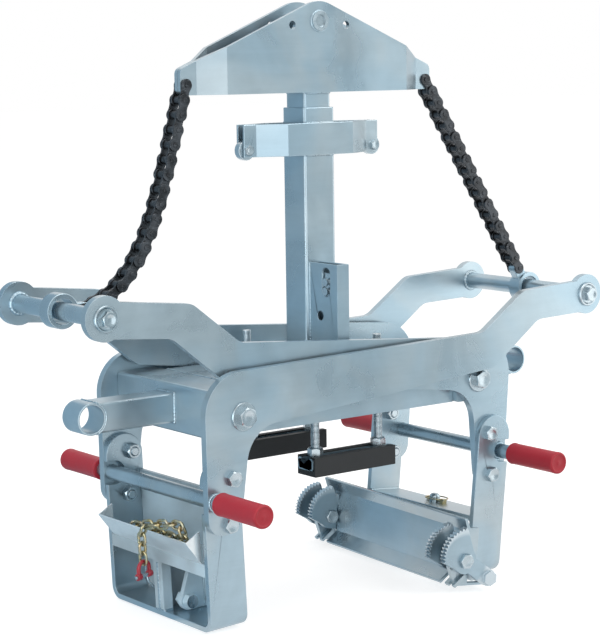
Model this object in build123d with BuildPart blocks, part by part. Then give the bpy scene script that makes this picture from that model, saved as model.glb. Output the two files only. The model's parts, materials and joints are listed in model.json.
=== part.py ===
from build123d import *
import os
from math import atan2, cos, hypot, pi, radians, sin

# Precast concrete lifting clamp that stands on its two jaws. Millimetres, +Z up.
# X is the clamping direction, -Y the front, and the origin lies on the floor under the mast.

# Arms: two crossing pairs of plates, A with its legs on the left and B with its legs on the right
PIVOT_SPREAD = 539.0
ARM_A_HALF = 166.5
ARM_T = 14.0
SIDE_CLEAR = 0.5
ARM_A_TURN = 0.0
ARM_B_TURN = 3.3
ARM_REACH = 790.0
ARM_RISE = 134.5
RING_R = 36.7
HEAD_LENGTH = 162.0
HEAD_UNDER = 125.0
CRANK_RUN = 98.0
CRANK_UNDER = 110.0
NECK_UP = 27.0
NECK_DOWN = 32.0
HEAD_SLOPE = 7.5
BEAM_TOP = 87.0
BEAM_UNDER = 21.0
CRANK_R = 35.0
ELBOW_UP = 73.0
ELBOW_R = 70.0
CROTCH_X = 14.0
CROTCH_DROP = 22.0
CROTCH_R = 66.0
LEG_OUT = 76.0
LEG_TAPER = 4.0
LEG_INNER = 9.0
LEG_DROP = 192.0
LEG_END_R = 29.0

# Jaws: a U of flat bar bolted to the legs, leaning inwards
JAW_T = 10.0
JAW_W = 74.0
JAW_LEAN = 2.65
JAW_AT = (-32.0, -195.0)
JAW_UP = 90.0
JAW_DOWN = 162.0
JAW_BEND_R = 22.0
JAW_BOLTS = [(-23.0, -100.0), (-31.0, -175.5)]
BOLT_D = 16.0
BOLT_AF = 24.0
BOLT_HEAD = 10.0
BOLT_NUT = 13.0
HOLE_PLAY = 0.1

# Handles
HANDLE_AT = (-57.0, -135.0)
HANDLE_D = 26.0
HANDLE_BORE = 19.0
HANDLE_SPAN = 584.0
NOTCH_R = 20.5
GRIP_D = 39.0
GRIP_GAP = 14.5
GRIP_END = 6.0
GRIP_ROUND = 4.0

# Crossbars and their end bolts
CROSSBAR_D = 30.0
CROSSBAR_BORE = 17.0
END_WASHER_D = 44.0
END_WASHER_T = 5.0
END_BOLT_DEPTH = 40.0

# Base: cross boxes that carry the pivots, deck between them, long beam with an eye at each end
BOX_X = 80.0
BOX_Z = 82.0
BOX_WALL = 5.0
DECK_CLEAR = 10.0
DECK_T = 6.0
BEAM_SIZE = 50.0
BEAM_WALL = 4.0
BEAM_PLAY = 0.5
EYE_AT = 470.0
EYE_OD = 54.0
EYE_BORE = 46.0
PIVOT_D = 24.0
PIVOT_WASHER_D = 48.0
PIVOT_WASHER_T = 4.0
PIVOT_AF = 30.0
PIVOT_HEAD = 12.5
PIVOT_DEPTH = 45.0

# Mast, chain guide and latch
MAST_X = 67.0
MAST_Y = 63.0
MAST_WALL = 4.0
MAST_TOP = 492.0
MAST_PLAY = 0.5
TUBE_CORNER_R = 6.0
GUIDE_BOTTOM = 410.0
GUIDE_HEIGHT = 56.0
GUIDE_T = 4.0
GUIDE_PANEL = 71.0
GUIDE_BEND = 50.0
GUIDE_END = 147.0
GUIDE_TAB_Y = 11.0
ROLLER_D = 34.0
ROLLER_W = 13.0
ROLLER_AT = 138.0
ROLLER_UP = 12.0
ROLLER_AXLE_D = 10.0
AXLE_AF = 16.0
AXLE_HEAD = 6.4
LATCH_X0 = -26.0
LATCH_W = 26.0
LATCH_REACH = 77.0
LATCH_TOP = 225.0
LATCH_WALL = 4.0
SLOT_Y = 46.0
SLOT_W = 21.0
SLOT_TOP = 218.0
SLOT_LENGTH = 50.0
LATCH_HOLE_Y = 29.0
LATCH_HOLE_UP = 133.0
LATCH_HOLE_D = 16.0
SLIDER_W = 40.0
SLIDER_LENGTH = 46.0
SLIDER_T = 8.0
SLIDER_PLAY = 0.5
SLIDER_SCREW_D = 9.0
SLIDER_HEAD_D = 14.0
SLIDER_HEAD_T = 3.0
SLIDER_SCREWS = [177.0, 193.0]

# Headstock
HEAD_T = 8.0
HEAD_BOTTOM = 518.0
HEAD_SLOPE_RATIO = 0.42
HEAD_APEX_R = 60.0
HEAD_PANEL = 195.8
HEAD_BEND = 44.2
HEAD_END = 273.0
HEAD_END_HEIGHT = 43.0
HEAD_END_R = 12.0
TAB_GAP = 0.8
INNER_TUBE_DOWN = 330.0
INNER_TUBE_UP = 60.0
LIFT_PIN_UP = 122.0
LIFT_PIN_D = 34.0
LIFT_PIN_PROUD = 4.0
LIFT_PIN_DISH_D = 21.0
LIFT_PIN_DISH = 3.0
SLING_HOLE_X = 58.3
SLING_HOLE_UP = 115.0
SLING_HOLE_D = 14.0
ANCHOR_X = 262.0
ANCHOR_UP = 17.0

# Roller chains of one inch pitch
PITCH = 25.4
EYE_MIN = 40.0
LINK_HEIGHT = 21.0
LINK_WAIST_R = 24.0
LINK_INNER_W = 17.2
LINK_PLATE_T = 3.6
LINK_GAP = 0.2
ROLLER_OD = 15.8
LINK_PIN_D = 8.2
LINK_PIN_PROUD = 1.6
LINK_PLAY = 0.08
SAG_POWER = 3.5
EYE_LOOP_OD = 58.0
EYE_LOOP_BORE = 42.0
EYE_LOOP_W = 28.0
EYE_TAB_T = 16.4
EYE_TAB_H = 22.0
LEFT_SECTIONS = 3

# Left jaw: web with a ledge bar on a ribbed post, lug with a bolt, tray with a link chain
WEB_T = 8.0
WEB_HEIGHT = 210.0
LEDGE_UP = 95.0
LEDGE_H = 22.0
LEDGE_T = 10.0
POST_W = 26.0
POST_DEPTH = 18.0
RIB_T = 9.0
LEVER_T = 10.0
LEVER_R = 16.5
LEVER_FRONT = 40.0
LEVER_BOLT_AT = (-3.0, 27.0)
LEVER_TOP = 88.0
LEVER_LEAN = 22.0
TRAY_T = 2.0
TRAY_GAP = 7.5
TRAY_END_H = 56.0
TRAY_LIP_OUT = 29.0
TRAY_LIP_H = 41.0
WIRE_D = 5.0
RING_PITCH = 17.0
RING_SLACK = 0.5
RING_W = 18.8
HEAP_OUT = 9.8
HEAP_UP = 37.5
HEAP_RISE = 29.0
HEAP_LEAN = 6.5
HEAP_REAR = 60.0
HEAP_FRONT = 114.0
HEAP_R = 14.8
HANG_AT = 25.0
HANG_OUT = 41.0
HANG_UP = 56.0
HANG_R = 16.0
HANG_DOWN = 8.0
WALK_STEP = 0.25
LOCK_WIRE_D = 6.0
LOCK_W = 32.0
LOCK_RISE = 27.0
LOCK_HUB_D = 12.0
LOCK_HUB_W = 9.0
LOCK_PIN_D = 6.0
LOCK_PIN_LENGTH = 42.0

# Grip unit on the right jaw, swung on its king pin
SHELF_UP = 105.0
SHELF_T = 10.0
KING_AT = -3.0
KING_D = 20.0
KING_PLAY = 0.08
KING_PROUD = 16.0
KING_DOME_R = 7.5
KING_HEAD_D = 30.0
KING_HEAD = 8.0
UNIT_YAW = 5.3
UNIT_HALF = 228.0
FACE_T = 6.0
FACE_AT = 92.0
FACE_TOP = (100.0, 115.0)
FACE_UPPER = 95.0
FACE_LOWER = 18.0
FACE_LIP = (115.0, -2.0)
TONGUE_W = 180.0
TONGUE_T = 10.0
TONGUE_GAP = 0.5
TONGUE_R = 26.0
CAM_AT = (105.5, 45.3)
CAM_T = 12.0
CAM_SPACING = 46.0
CAM_MIDDLE = 216.0
CAM_R0 = 47.0
CAM_R1 = 60.0
CAM_FIRST = -6.0
CAM_LAST = 92.0
CAM_TEETH = 13
TOOTH_H = 4.8
CAM_TAIL = (-53.7, -32.6)
CAM_TAIL_R = 15.0
CAM_HUB_R = 24.0
CAM_PLAY = 0.08
CAM_SIDE_PLAY = 0.3
CAM_SLOT_PLAY = 1.0
CAM_SLOT_TOP = 88.0
CAM_BOLT_D = 16.0
CAM_BOLT_AF = 24.0
CAM_BOLT_HEAD = 7.0
SPACER_D = 24.0
STOP_PLAY = 0.3
HOOK_T = 10.0
HOOK_LIP = 5.0
HOOK_TIP = 46.0
HOOK_REAR = 62.0
HOOK_TOP = 98.0
HOOK_NECK = 80.0
HOOK_NOSE = 16.0
HOOK_UNDER = 30.0
HOOK_LEG = 26.0
LINCHPIN_D = 6.0
LINCHPIN_UP = 3.5
LINCHPIN_LENGTH = 46.0
LINCHPIN_HEAD = 9.0
LINCHPIN_RING_D = 42.0
LINCHPIN_WIRE_D = 2.5

# Height stops under the deck
STOP_LENGTH = 180.0
STOP_W = 49.0
STOP_H = 34.0
STOP_IN = 20.0
STOP_TOP = 101.0
STOP_COVER = 2.5
RAIL_W = 41.0
RAIL_H = 21.0
RAIL_T = 2.5
RAIL_SLOT = 22.0
RAIL_END = 2.0
ROD_X = 70.0
ROD_D = 16.0
ROD_TOP = 96.0
ROD_PLAY = 0.08
NUT_AF = 24.0
NUT_H = 13.0
RAIL_NUT_H = 8.0

# Sizes that follow from the ones above
PIVOT_X = PIVOT_SPREAD / 2
ARM_A_INNER = ARM_A_HALF - ARM_T
ARM_B_HALF = ARM_A_INNER - JAW_T - SIDE_CLEAR
ARM_B_INNER = ARM_B_HALF - ARM_T
DECK_HALF_Y = ARM_B_INNER - DECK_CLEAR
STOP_Y = DECK_HALF_Y - STOP_IN


def corner_drop(turn):
    """Depth of a jaw's outer bottom corner below its pivot when the arm is turned closed."""
    lean = radians(JAW_LEAN)
    across = JAW_AT[0] - JAW_W / 2 * cos(lean) + JAW_DOWN * sin(lean)
    down = JAW_AT[1] - JAW_W / 2 * sin(lean) - JAW_DOWN * cos(lean)
    return -(across * sin(radians(turn)) + down * cos(radians(turn)))


PIVOT_Z = max(corner_drop(ARM_A_TURN), corner_drop(ARM_B_TURN))
DECK_Z = PIVOT_Z + BOX_Z / 2
HEAD_Z = PIVOT_Z + HEAD_BOTTOM


def arm_frame(side, turn):
    """Plane of an arm: x runs to its far end, y up, and its normal out of the legs' side view."""
    along = (-side * cos(radians(turn)), 0, sin(radians(turn)))
    return Plane(origin=(side * PIVOT_X, 0, PIVOT_Z), x_dir=along, z_dir=(0, side, 0))


def at(plane, across, up, out=0.0):
    """Point given in a plane's own directions."""
    return plane.from_local_coords((across, up, out))


def jaw_frame(arm):
    """Plane of a jaw: x points inwards across the flat bar, y up along it."""
    inwards = arm.x_dir * cos(radians(JAW_LEAN)) + arm.y_dir * sin(radians(JAW_LEAN))
    return Plane(origin=at(arm, *JAW_AT), x_dir=inwards, z_dir=arm.z_dir)


ARM_A = arm_frame(-1, ARM_A_TURN)
ARM_B = arm_frame(1, ARM_B_TURN)
JAW_A = jaw_frame(ARM_A)
JAW_B = jaw_frame(ARM_B)

os.makedirs("parts", exist_ok=True)


def keep(piece, name):
    """Label a finished piece and write its file."""
    piece.part.label = name
    export_step(piece.part, f"parts/{name}.step")


def centred(plane, across, up):
    """Plane parallel to another one, with its origin moved in that plane."""
    return Plane(origin=at(plane, across, up), x_dir=plane.x_dir, z_dir=plane.z_dir)


# Arms


def draw_arm_side():
    """Side view of an arm plate: round far end, neck, crank, long beam, elbow and leg."""
    neck_top = ARM_RISE + NECK_UP
    corners = [
        (ARM_REACH, neck_top),
        (ARM_REACH - HEAD_LENGTH, neck_top - HEAD_SLOPE),
        (ARM_REACH - HEAD_LENGTH - CRANK_RUN, BEAM_TOP),
        (-LEG_OUT, ELBOW_UP),
        (-LEG_OUT + LEG_TAPER, -LEG_DROP),
        (-LEG_INNER, -LEG_DROP),
        (CROTCH_X, -CROTCH_DROP),
        (ARM_REACH - HEAD_UNDER - CRANK_UNDER, BEAM_UNDER),
        (ARM_REACH - HEAD_UNDER, ARM_RISE - NECK_DOWN - HEAD_SLOPE / 2),
        (ARM_REACH, ARM_RISE - NECK_DOWN),
    ]
    rounds = [0, CRANK_R, CRANK_R, ELBOW_R, LEG_END_R, LEG_END_R, CROTCH_R, CRANK_R, CRANK_R, 0]
    with BuildLine() as outline:
        FilletPolyline(*corners, radius=rounds, close=True)
    make_face(outline.edges())
    with Locations((ARM_REACH, ARM_RISE)):
        Circle(RING_R)
        Circle(BOLT_D / 2 + HOLE_PLAY, mode=Mode.SUBTRACT)
    Circle(PIVOT_D / 2 + HOLE_PLAY, mode=Mode.SUBTRACT)
    with Locations(*JAW_BOLTS):
        Circle(BOLT_D / 2 + HOLE_PLAY, mode=Mode.SUBTRACT)
    with Locations(HANDLE_AT):
        Circle(HANDLE_D / 2 + HOLE_PLAY, mode=Mode.SUBTRACT)


for arm_name, arm, half in (("arm_a", ARM_A, ARM_A_HALF), ("arm_b", ARM_B, ARM_B_HALF)):
    front = -arm.z_dir.Y
    for face_name, low in (("front", half - ARM_T), ("rear", -half)):
        start = low if front > 0 else -low - ARM_T
        with BuildPart() as arm_plate:
            with BuildSketch(arm.offset(start)):
                draw_arm_side()
            extrude(amount=ARM_T)
        keep(arm_plate, f"{arm_name}_{face_name}_plate")

    inner = half - ARM_T
    with BuildPart() as crossbar:
        with BuildSketch(centred(arm, ARM_REACH, ARM_RISE)):
            Circle(CROSSBAR_D / 2)
            Circle(CROSSBAR_BORE / 2, mode=Mode.SUBTRACT)
        extrude(amount=inner, both=True)
    keep(crossbar, f"{arm_name}_crossbar")

    with BuildPart() as end_bolts:
        for end in (1, -1):
            bolt_plane = centred(arm, ARM_REACH, ARM_RISE)
            with BuildSketch(bolt_plane.offset(end * half)):
                Circle(END_WASHER_D / 2)
            extrude(amount=end * END_WASHER_T)
            with BuildSketch(bolt_plane.offset(end * (half + END_WASHER_T))):
                RegularPolygon(BOLT_AF / 2, 6, major_radius=False)
            extrude(amount=end * BOLT_HEAD)
            with BuildSketch(bolt_plane.offset(end * half)):
                Circle(BOLT_D / 2)
            extrude(amount=-end * (ARM_T + END_BOLT_DEPTH))
    keep(end_bolts, f"{arm_name}_end_bolts")


# Handles: one tube through both legs of an arm, and a grip on each end

GRIP_ROOT = ARM_A_HALF + GRIP_GAP
GRIP_TIP = HANDLE_SPAN / 2 + GRIP_END

for side_name, arm in (("left", ARM_A), ("right", ARM_B)):
    handle_plane = centred(arm, *HANDLE_AT)
    with BuildPart() as handle_tube:
        with BuildSketch(handle_plane):
            Circle(HANDLE_D / 2)
            Circle(HANDLE_BORE / 2, mode=Mode.SUBTRACT)
        extrude(amount=HANDLE_SPAN / 2, both=True)
    keep(handle_tube, f"{side_name}_handle_tube")

    with BuildPart() as grips:
        for end in (1, -1):
            with BuildSketch(handle_plane.offset(end * GRIP_ROOT)):
                Circle(GRIP_D / 2)
            extrude(amount=end * (GRIP_TIP - GRIP_ROOT))
        fillet(grips.edges().filter_by(GeomType.CIRCLE), GRIP_ROUND)
        with BuildSketch(handle_plane):
            Circle(HANDLE_D / 2 + HOLE_PLAY)
        extrude(amount=HANDLE_SPAN / 2, both=True, mode=Mode.SUBTRACT)
    keep(grips, f"{side_name}_grips")


# Jaw frames


def make_jaw_frame(arm, jaw, outer):
    """U of flat bar with rounded tops, bolt holes and a notch that clears the handle tube."""
    upright = Plane(origin=jaw.origin, x_dir=jaw.z_dir, z_dir=-jaw.x_dir)
    with BuildPart() as frame:
        with BuildSketch(upright):
            for width, low, bend in (
                (outer, -JAW_DOWN, JAW_BEND_R),
                (outer - JAW_T, -JAW_DOWN + JAW_T, JAW_BEND_R - JAW_T),
            ):
                top = JAW_UP + JAW_W
                corners = [(-width, top), (-width, low), (width, low), (width, top)]
                with BuildLine():
                    FilletPolyline(*corners, radius=[0, bend, bend, 0], close=True)
                make_face(mode=Mode.ADD if width == outer else Mode.SUBTRACT)
        extrude(amount=JAW_W / 2, both=True)
        with BuildSketch(jaw):
            with Locations((0, JAW_UP)):
                Circle(JAW_W / 2)
            with Locations((0, (JAW_UP - JAW_DOWN) / 2)):
                Rectangle(JAW_W, JAW_UP + JAW_DOWN)
        extrude(amount=outer + JAW_T, both=True, mode=Mode.INTERSECT)
        with BuildSketch(centred(arm, *HANDLE_AT)):
            Circle(NOTCH_R)
            with Locations((-JAW_W / 2, 0)):
                Rectangle(JAW_W, 2 * NOTCH_R)
        extrude(amount=outer + JAW_T, both=True, mode=Mode.SUBTRACT)
        with BuildSketch(arm):
            with Locations(*JAW_BOLTS):
                Circle(BOLT_D / 2 + HOLE_PLAY)
        extrude(amount=outer + JAW_T, both=True, mode=Mode.SUBTRACT)
    return frame


JAW_A_HALF = ARM_A_INNER
JAW_B_HALF = ARM_B_HALF + JAW_T
keep(make_jaw_frame(ARM_A, JAW_A, JAW_A_HALF), "left_jaw_frame")
keep(make_jaw_frame(ARM_B, JAW_B, JAW_B_HALF), "right_jaw_frame")


def make_jaw_bolts(arm, outer, inner):
    """Four hex bolts with nuts through the legs and the jaw sides."""
    with BuildPart() as bolts:
        for spot in JAW_BOLTS:
            for end in (1, -1):
                bolt_plane = centred(arm, *spot)
                with BuildSketch(bolt_plane.offset(end * outer)):
                    RegularPolygon(BOLT_AF / 2, 6, major_radius=False)
                extrude(amount=end * BOLT_HEAD)
                with BuildSketch(bolt_plane.offset(end * outer)):
                    Circle(BOLT_D / 2)
                extrude(amount=-end * (outer - inner + BOLT_NUT))
                with BuildSketch(bolt_plane.offset(end * inner)):
                    RegularPolygon(BOLT_AF / 2, 6, major_radius=False)
                extrude(amount=-end * BOLT_NUT)
    return bolts


keep(make_jaw_bolts(ARM_A, ARM_A_HALF, JAW_A_HALF - JAW_T), "left_jaw_bolts")
keep(make_jaw_bolts(ARM_B, JAW_B_HALF, ARM_B_INNER), "right_jaw_bolts")


# Base

BOX_A_HALF = ARM_A_INNER - SIDE_CLEAR
BOX_B_HALF = ARM_B_INNER - SIDE_CLEAR

for side_name, side, half_y in (("left", -1, BOX_A_HALF), ("right", 1, BOX_B_HALF)):
    with BuildPart() as cross_box:
        with BuildSketch(Plane(origin=(side * PIVOT_X, 0, PIVOT_Z), x_dir=(1, 0, 0), z_dir=(0, -1, 0))):
            RectangleRounded(BOX_X, BOX_Z, BOX_WALL)
            RectangleRounded(BOX_X - 2 * BOX_WALL, BOX_Z - 2 * BOX_WALL, BOX_WALL / 2, mode=Mode.SUBTRACT)
        extrude(amount=half_y, both=True)
        for end in (1, -1):
            cap_middle = (side * PIVOT_X, end * half_y, PIVOT_Z)
            cap_plane = Plane(origin=cap_middle, x_dir=(1, 0, 0), z_dir=(0, end, 0))
            with BuildSketch(cap_plane):
                RectangleRounded(BOX_X, BOX_Z, BOX_WALL)
            extrude(amount=-2 * BOX_WALL)
        with BuildSketch(Plane(origin=(side * PIVOT_X, 0, PIVOT_Z), x_dir=(0, 1, 0), z_dir=(1, 0, 0))):
            Rectangle(BEAM_SIZE + 2 * BEAM_PLAY, BEAM_SIZE + 2 * BEAM_PLAY)
        extrude(amount=BOX_X, both=True, mode=Mode.SUBTRACT)
        with BuildSketch(Plane(origin=(side * PIVOT_X, 0, PIVOT_Z), x_dir=(1, 0, 0), z_dir=(0, -1, 0))):
            Circle(PIVOT_D / 2 + HOLE_PLAY)
        extrude(amount=half_y, both=True, mode=Mode.SUBTRACT)
    keep(cross_box, f"{side_name}_cross_box")

with BuildPart() as pivot_bolts:
    for side, arm_half in ((-1, ARM_A_HALF), (1, ARM_B_HALF)):
        for end in (1, -1):
            bolt_plane = Plane(origin=(side * PIVOT_X, 0, PIVOT_Z), x_dir=(1, 0, 0), z_dir=(0, end, 0))
            with BuildSketch(bolt_plane.offset(arm_half + HOLE_PLAY)):
                Circle(PIVOT_WASHER_D / 2)
            extrude(amount=PIVOT_WASHER_T)
            with BuildSketch(bolt_plane.offset(arm_half + HOLE_PLAY + PIVOT_WASHER_T)):
                RegularPolygon(PIVOT_AF / 2, 6, major_radius=False)
            extrude(amount=PIVOT_HEAD)
            with BuildSketch(bolt_plane.offset(arm_half + HOLE_PLAY)):
                Circle(PIVOT_D / 2)
            extrude(amount=-(ARM_T + HOLE_PLAY + PIVOT_DEPTH))
keep(pivot_bolts, "pivot_bolts")

DECK_HALF_X = PIVOT_X - BOX_X / 2

with BuildPart() as deck:
    with BuildSketch(Plane.YZ):
        with Locations((0, PIVOT_Z)):
            Rectangle(2 * DECK_HALF_Y, BOX_Z)
        with Locations((0, PIVOT_Z - DECK_T)):
            Rectangle(2 * DECK_HALF_Y - 2 * DECK_T, BOX_Z, mode=Mode.SUBTRACT)
    extrude(amount=DECK_HALF_X, both=True)
    with Locations(Plane.XY.offset(DECK_Z)):
        with GridLocations(2 * ROD_X, 2 * STOP_Y, 2, 2):
            Hole(ROD_D / 2 + ROD_PLAY, depth=2 * DECK_T)
keep(deck, "base_deck")

with BuildPart() as beam:
    with BuildSketch(Plane.YZ):
        with Locations((0, PIVOT_Z)):
            RectangleRounded(BEAM_SIZE, BEAM_SIZE, BEAM_WALL)
            Rectangle(BEAM_SIZE - 2 * BEAM_WALL, BEAM_SIZE - 2 * BEAM_WALL, mode=Mode.SUBTRACT)
    extrude(amount=EYE_AT, both=True)
    with BuildSketch(Plane.XZ):
        with Locations((EYE_AT, PIVOT_Z), (-EYE_AT, PIVOT_Z)):
            Circle(EYE_OD / 2 + HOLE_PLAY)
    extrude(amount=BEAM_SIZE, both=True, mode=Mode.SUBTRACT)
keep(beam, "base_beam")

for side_name, side in (("left", -1), ("right", 1)):
    with BuildPart() as end_eye:
        with BuildSketch(Plane.XZ):
            with Locations((side * EYE_AT, PIVOT_Z)):
                Circle(EYE_OD / 2)
                Circle(EYE_BORE / 2, mode=Mode.SUBTRACT)
        extrude(amount=BEAM_SIZE / 2, both=True)
    keep(end_eye, f"{side_name}_end_eye")


# Mast with its chain guide and latch


def square_tube(across, deep, wall, low, high):
    """Upright square tube between two heights, drawn in the part being built."""
    with BuildSketch(Plane.XY.offset(low)) as section:
        RectangleRounded(across, deep, TUBE_CORNER_R)
        RectangleRounded(across - 2 * wall, deep - 2 * wall, TUBE_CORNER_R - wall, mode=Mode.SUBTRACT)
    extrude(section.sketch, amount=high - low)


MAST_HEAD_Z = PIVOT_Z + MAST_TOP
with BuildPart() as mast:
    square_tube(MAST_X, MAST_Y, MAST_WALL, DECK_Z, MAST_HEAD_Z)
keep(mast, "mast_outer_tube")


def ribbon(points, thickness):
    """Outline of a bent sheet: a line of points, and the same line moved to its right."""
    moved = []
    last = len(points) - 1
    for i, (x, y) in enumerate(points):
        normals = []
        for first in (max(i - 1, 0), min(i, last - 1)):
            run = points[first + 1][0] - points[first][0]
            rise = points[first + 1][1] - points[first][1]
            normals.append((rise / hypot(run, rise), -run / hypot(run, rise)))
        (ax, ay), (bx, by) = normals
        scale = thickness / (1 + ax * bx + ay * by)
        moved.append((x + scale * (ax + bx), y + scale * (ay + by)))
    return points + moved[::-1]


def folded_plan(side, panel, bend, end, outer_y, tab_y, thickness):
    """Plan of a folded plate: flat panel, then each end bent in to a tab nearer the middle."""
    right = [(panel, outer_y), (panel + bend, tab_y), (end, tab_y)]
    line = [(-x, y) for x, y in reversed(right)] + right
    with BuildLine() as outline:
        Polyline(*[(x, side * y) for x, y in ribbon(line, thickness)], close=True)
    make_face(outline.edges())


GUIDE_Z = PIVOT_Z + GUIDE_BOTTOM
ROLLER_Z = GUIDE_Z + ROLLER_UP
for face_name, side in (("front", -1), ("rear", 1)):
    with BuildPart() as guide_plate:
        with BuildSketch(Plane.XY.offset(GUIDE_Z)):
            folded_plan(side, GUIDE_PANEL, GUIDE_BEND, GUIDE_END, MAST_Y / 2 + GUIDE_T, GUIDE_TAB_Y, GUIDE_T)
        extrude(amount=GUIDE_HEIGHT)
        with BuildSketch(Plane.XZ):
            with Locations((ROLLER_AT, ROLLER_Z), (-ROLLER_AT, ROLLER_Z)):
                Circle(ROLLER_AXLE_D / 2 + HOLE_PLAY)
        extrude(amount=MAST_Y, both=True, mode=Mode.SUBTRACT)
    keep(guide_plate, f"chain_guide_{face_name}_plate")

for side_name, side in (("left", -1), ("right", 1)):
    with BuildPart() as guide_roller:
        with BuildSketch(Plane.XZ):
            with Locations((side * ROLLER_AT, ROLLER_Z)):
                Circle(ROLLER_D / 2)
                Circle(ROLLER_AXLE_D / 2 + LINK_PLAY, mode=Mode.SUBTRACT)
        extrude(amount=ROLLER_W / 2, both=True)
    keep(guide_roller, f"{side_name}_guide_roller")

with BuildPart() as axle_bolts:
    for side in (1, -1):
        axle_plane = Plane(origin=(side * ROLLER_AT, 0, ROLLER_Z), x_dir=(1, 0, 0), z_dir=(0, -1, 0))
        with BuildSketch(axle_plane):
            Circle(ROLLER_AXLE_D / 2)
        extrude(amount=GUIDE_TAB_Y + AXLE_HEAD, both=True)
        for end in (1, -1):
            with BuildSketch(axle_plane.offset(end * GUIDE_TAB_Y)):
                RegularPolygon(AXLE_AF / 2, 6, major_radius=False)
            extrude(amount=end * AXLE_HEAD)
keep(axle_bolts, "roller_axle_bolts")

LATCH_SIDE = Plane(origin=(LATCH_X0, -MAST_Y / 2, PIVOT_Z), x_dir=(0, -1, 0), z_dir=(-1, 0, 0))

with BuildPart() as housing:
    with BuildSketch(Plane.XY.offset(DECK_Z)):
        with Locations((LATCH_X0 + LATCH_W / 2, -MAST_Y / 2 - LATCH_REACH / 2)):
            Rectangle(LATCH_W, LATCH_REACH)
        with Locations((LATCH_X0 + LATCH_W / 2, -MAST_Y / 2 - LATCH_REACH / 2 + LATCH_WALL)):
            Rectangle(LATCH_W - 2 * LATCH_WALL, LATCH_REACH, mode=Mode.SUBTRACT)
    extrude(amount=LATCH_TOP - BOX_Z / 2)
    with BuildSketch(LATCH_SIDE):
        with Locations((SLOT_Y, SLOT_TOP - SLOT_LENGTH / 2)):
            SlotOverall(SLOT_LENGTH, SLOT_W, rotation=90)
        with Locations((LATCH_HOLE_Y, LATCH_HOLE_UP)):
            Circle(LATCH_HOLE_D / 2)
    extrude(amount=-LATCH_WALL, mode=Mode.SUBTRACT)
keep(housing, "latch_housing")

with BuildPart() as slider:
    inside = LATCH_WALL + SLIDER_PLAY
    with BuildSketch(LATCH_SIDE.offset(-inside)):
        with Locations((SLOT_Y, sum(SLIDER_SCREWS) / 2)):
            Rectangle(SLIDER_W, SLIDER_LENGTH)
    extrude(amount=-SLIDER_T)
    with BuildSketch(LATCH_SIDE.offset(-inside)):
        with Locations(*[(SLOT_Y, up) for up in SLIDER_SCREWS]):
            Circle(SLIDER_SCREW_D / 2)
    extrude(amount=inside)
    with BuildSketch(LATCH_SIDE):
        with Locations(*[(SLOT_Y, up) for up in SLIDER_SCREWS]):
            Circle(SLIDER_HEAD_D / 2)
    extrude(amount=SLIDER_HEAD_T)
keep(slider, "latch_slider")


# Headstock with the inner mast tube

INNER_X = MAST_X - 2 * MAST_WALL - 2 * MAST_PLAY
INNER_Y = MAST_Y - 2 * MAST_WALL - 2 * MAST_PLAY
HEAD_OUTER_Y = INNER_Y / 2 + HEAD_T
TAB_Y = HEAD_T + TAB_GAP / 2
bend_rise = HEAD_END_HEIGHT + HEAD_SLOPE_RATIO * (HEAD_END - HEAD_PANEL - HEAD_BEND)
panel_rise = bend_rise + HEAD_SLOPE_RATIO * hypot(HEAD_BEND, HEAD_OUTER_Y - TAB_Y)
apex_rise = panel_rise + HEAD_SLOPE_RATIO * HEAD_PANEL

for face_name, side in (("front", -1), ("rear", 1)):
    with BuildPart() as head_plate:
        with BuildSketch(Plane.XY.offset(HEAD_Z)):
            folded_plan(side, HEAD_PANEL, HEAD_BEND, HEAD_END, HEAD_OUTER_Y, TAB_Y, HEAD_T)
        extrude(amount=apex_rise)
        with BuildSketch(Plane(origin=(0, 0, HEAD_Z), x_dir=(1, 0, 0), z_dir=(0, -1, 0))):
            slope = [
                (HEAD_END, HEAD_END_HEIGHT),
                (HEAD_PANEL + HEAD_BEND, bend_rise),
                (HEAD_PANEL, panel_rise),
            ]
            right = [(HEAD_END, 0)] + slope
            left = [(-x, z) for x, z in reversed(right)]
            rounds = [HEAD_END_R, HEAD_END_R, 0, 0, HEAD_APEX_R, 0, 0, HEAD_END_R, HEAD_END_R]
            with BuildLine():
                FilletPolyline(*right, (0, apex_rise), *left, radius=rounds, close=True)
            make_face()
            with Locations((SLING_HOLE_X, SLING_HOLE_UP), (-SLING_HOLE_X, SLING_HOLE_UP)):
                Circle(SLING_HOLE_D / 2, mode=Mode.SUBTRACT)
            with Locations((0, LIFT_PIN_UP)):
                Circle(LIFT_PIN_D / 2 + HOLE_PLAY, mode=Mode.SUBTRACT)
            with Locations((ANCHOR_X, ANCHOR_UP), (-ANCHOR_X, ANCHOR_UP)):
                Circle(LINK_PIN_D / 2 + HOLE_PLAY, mode=Mode.SUBTRACT)
        extrude(amount=2 * HEAD_OUTER_Y, both=True, mode=Mode.INTERSECT)
    keep(head_plate, f"headstock_{face_name}_plate")

with BuildPart() as inner_tube:
    square_tube(INNER_X, INNER_Y, MAST_WALL, HEAD_Z - INNER_TUBE_DOWN, HEAD_Z + INNER_TUBE_UP)
keep(inner_tube, "inner_mast_tube")

with BuildPart() as lifting_pin:
    pin_plane = Plane(origin=(0, 0, HEAD_Z + LIFT_PIN_UP), x_dir=(1, 0, 0), z_dir=(0, -1, 0))
    pin_half = HEAD_OUTER_Y + LIFT_PIN_PROUD
    with BuildSketch(pin_plane):
        Circle(LIFT_PIN_D / 2)
    extrude(amount=pin_half, both=True)
    for end in (1, -1):
        with BuildSketch(pin_plane.offset(end * pin_half)):
            Circle(LIFT_PIN_DISH_D / 2)
        extrude(amount=-end * LIFT_PIN_DISH, mode=Mode.SUBTRACT)
keep(lifting_pin, "lifting_pin")

INNER_PLATE_Y = LINK_INNER_W / 2
OUTER_PLATE_Y = INNER_PLATE_Y + LINK_PLATE_T + LINK_GAP
ANCHOR_Z = HEAD_Z + ANCHOR_UP

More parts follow.
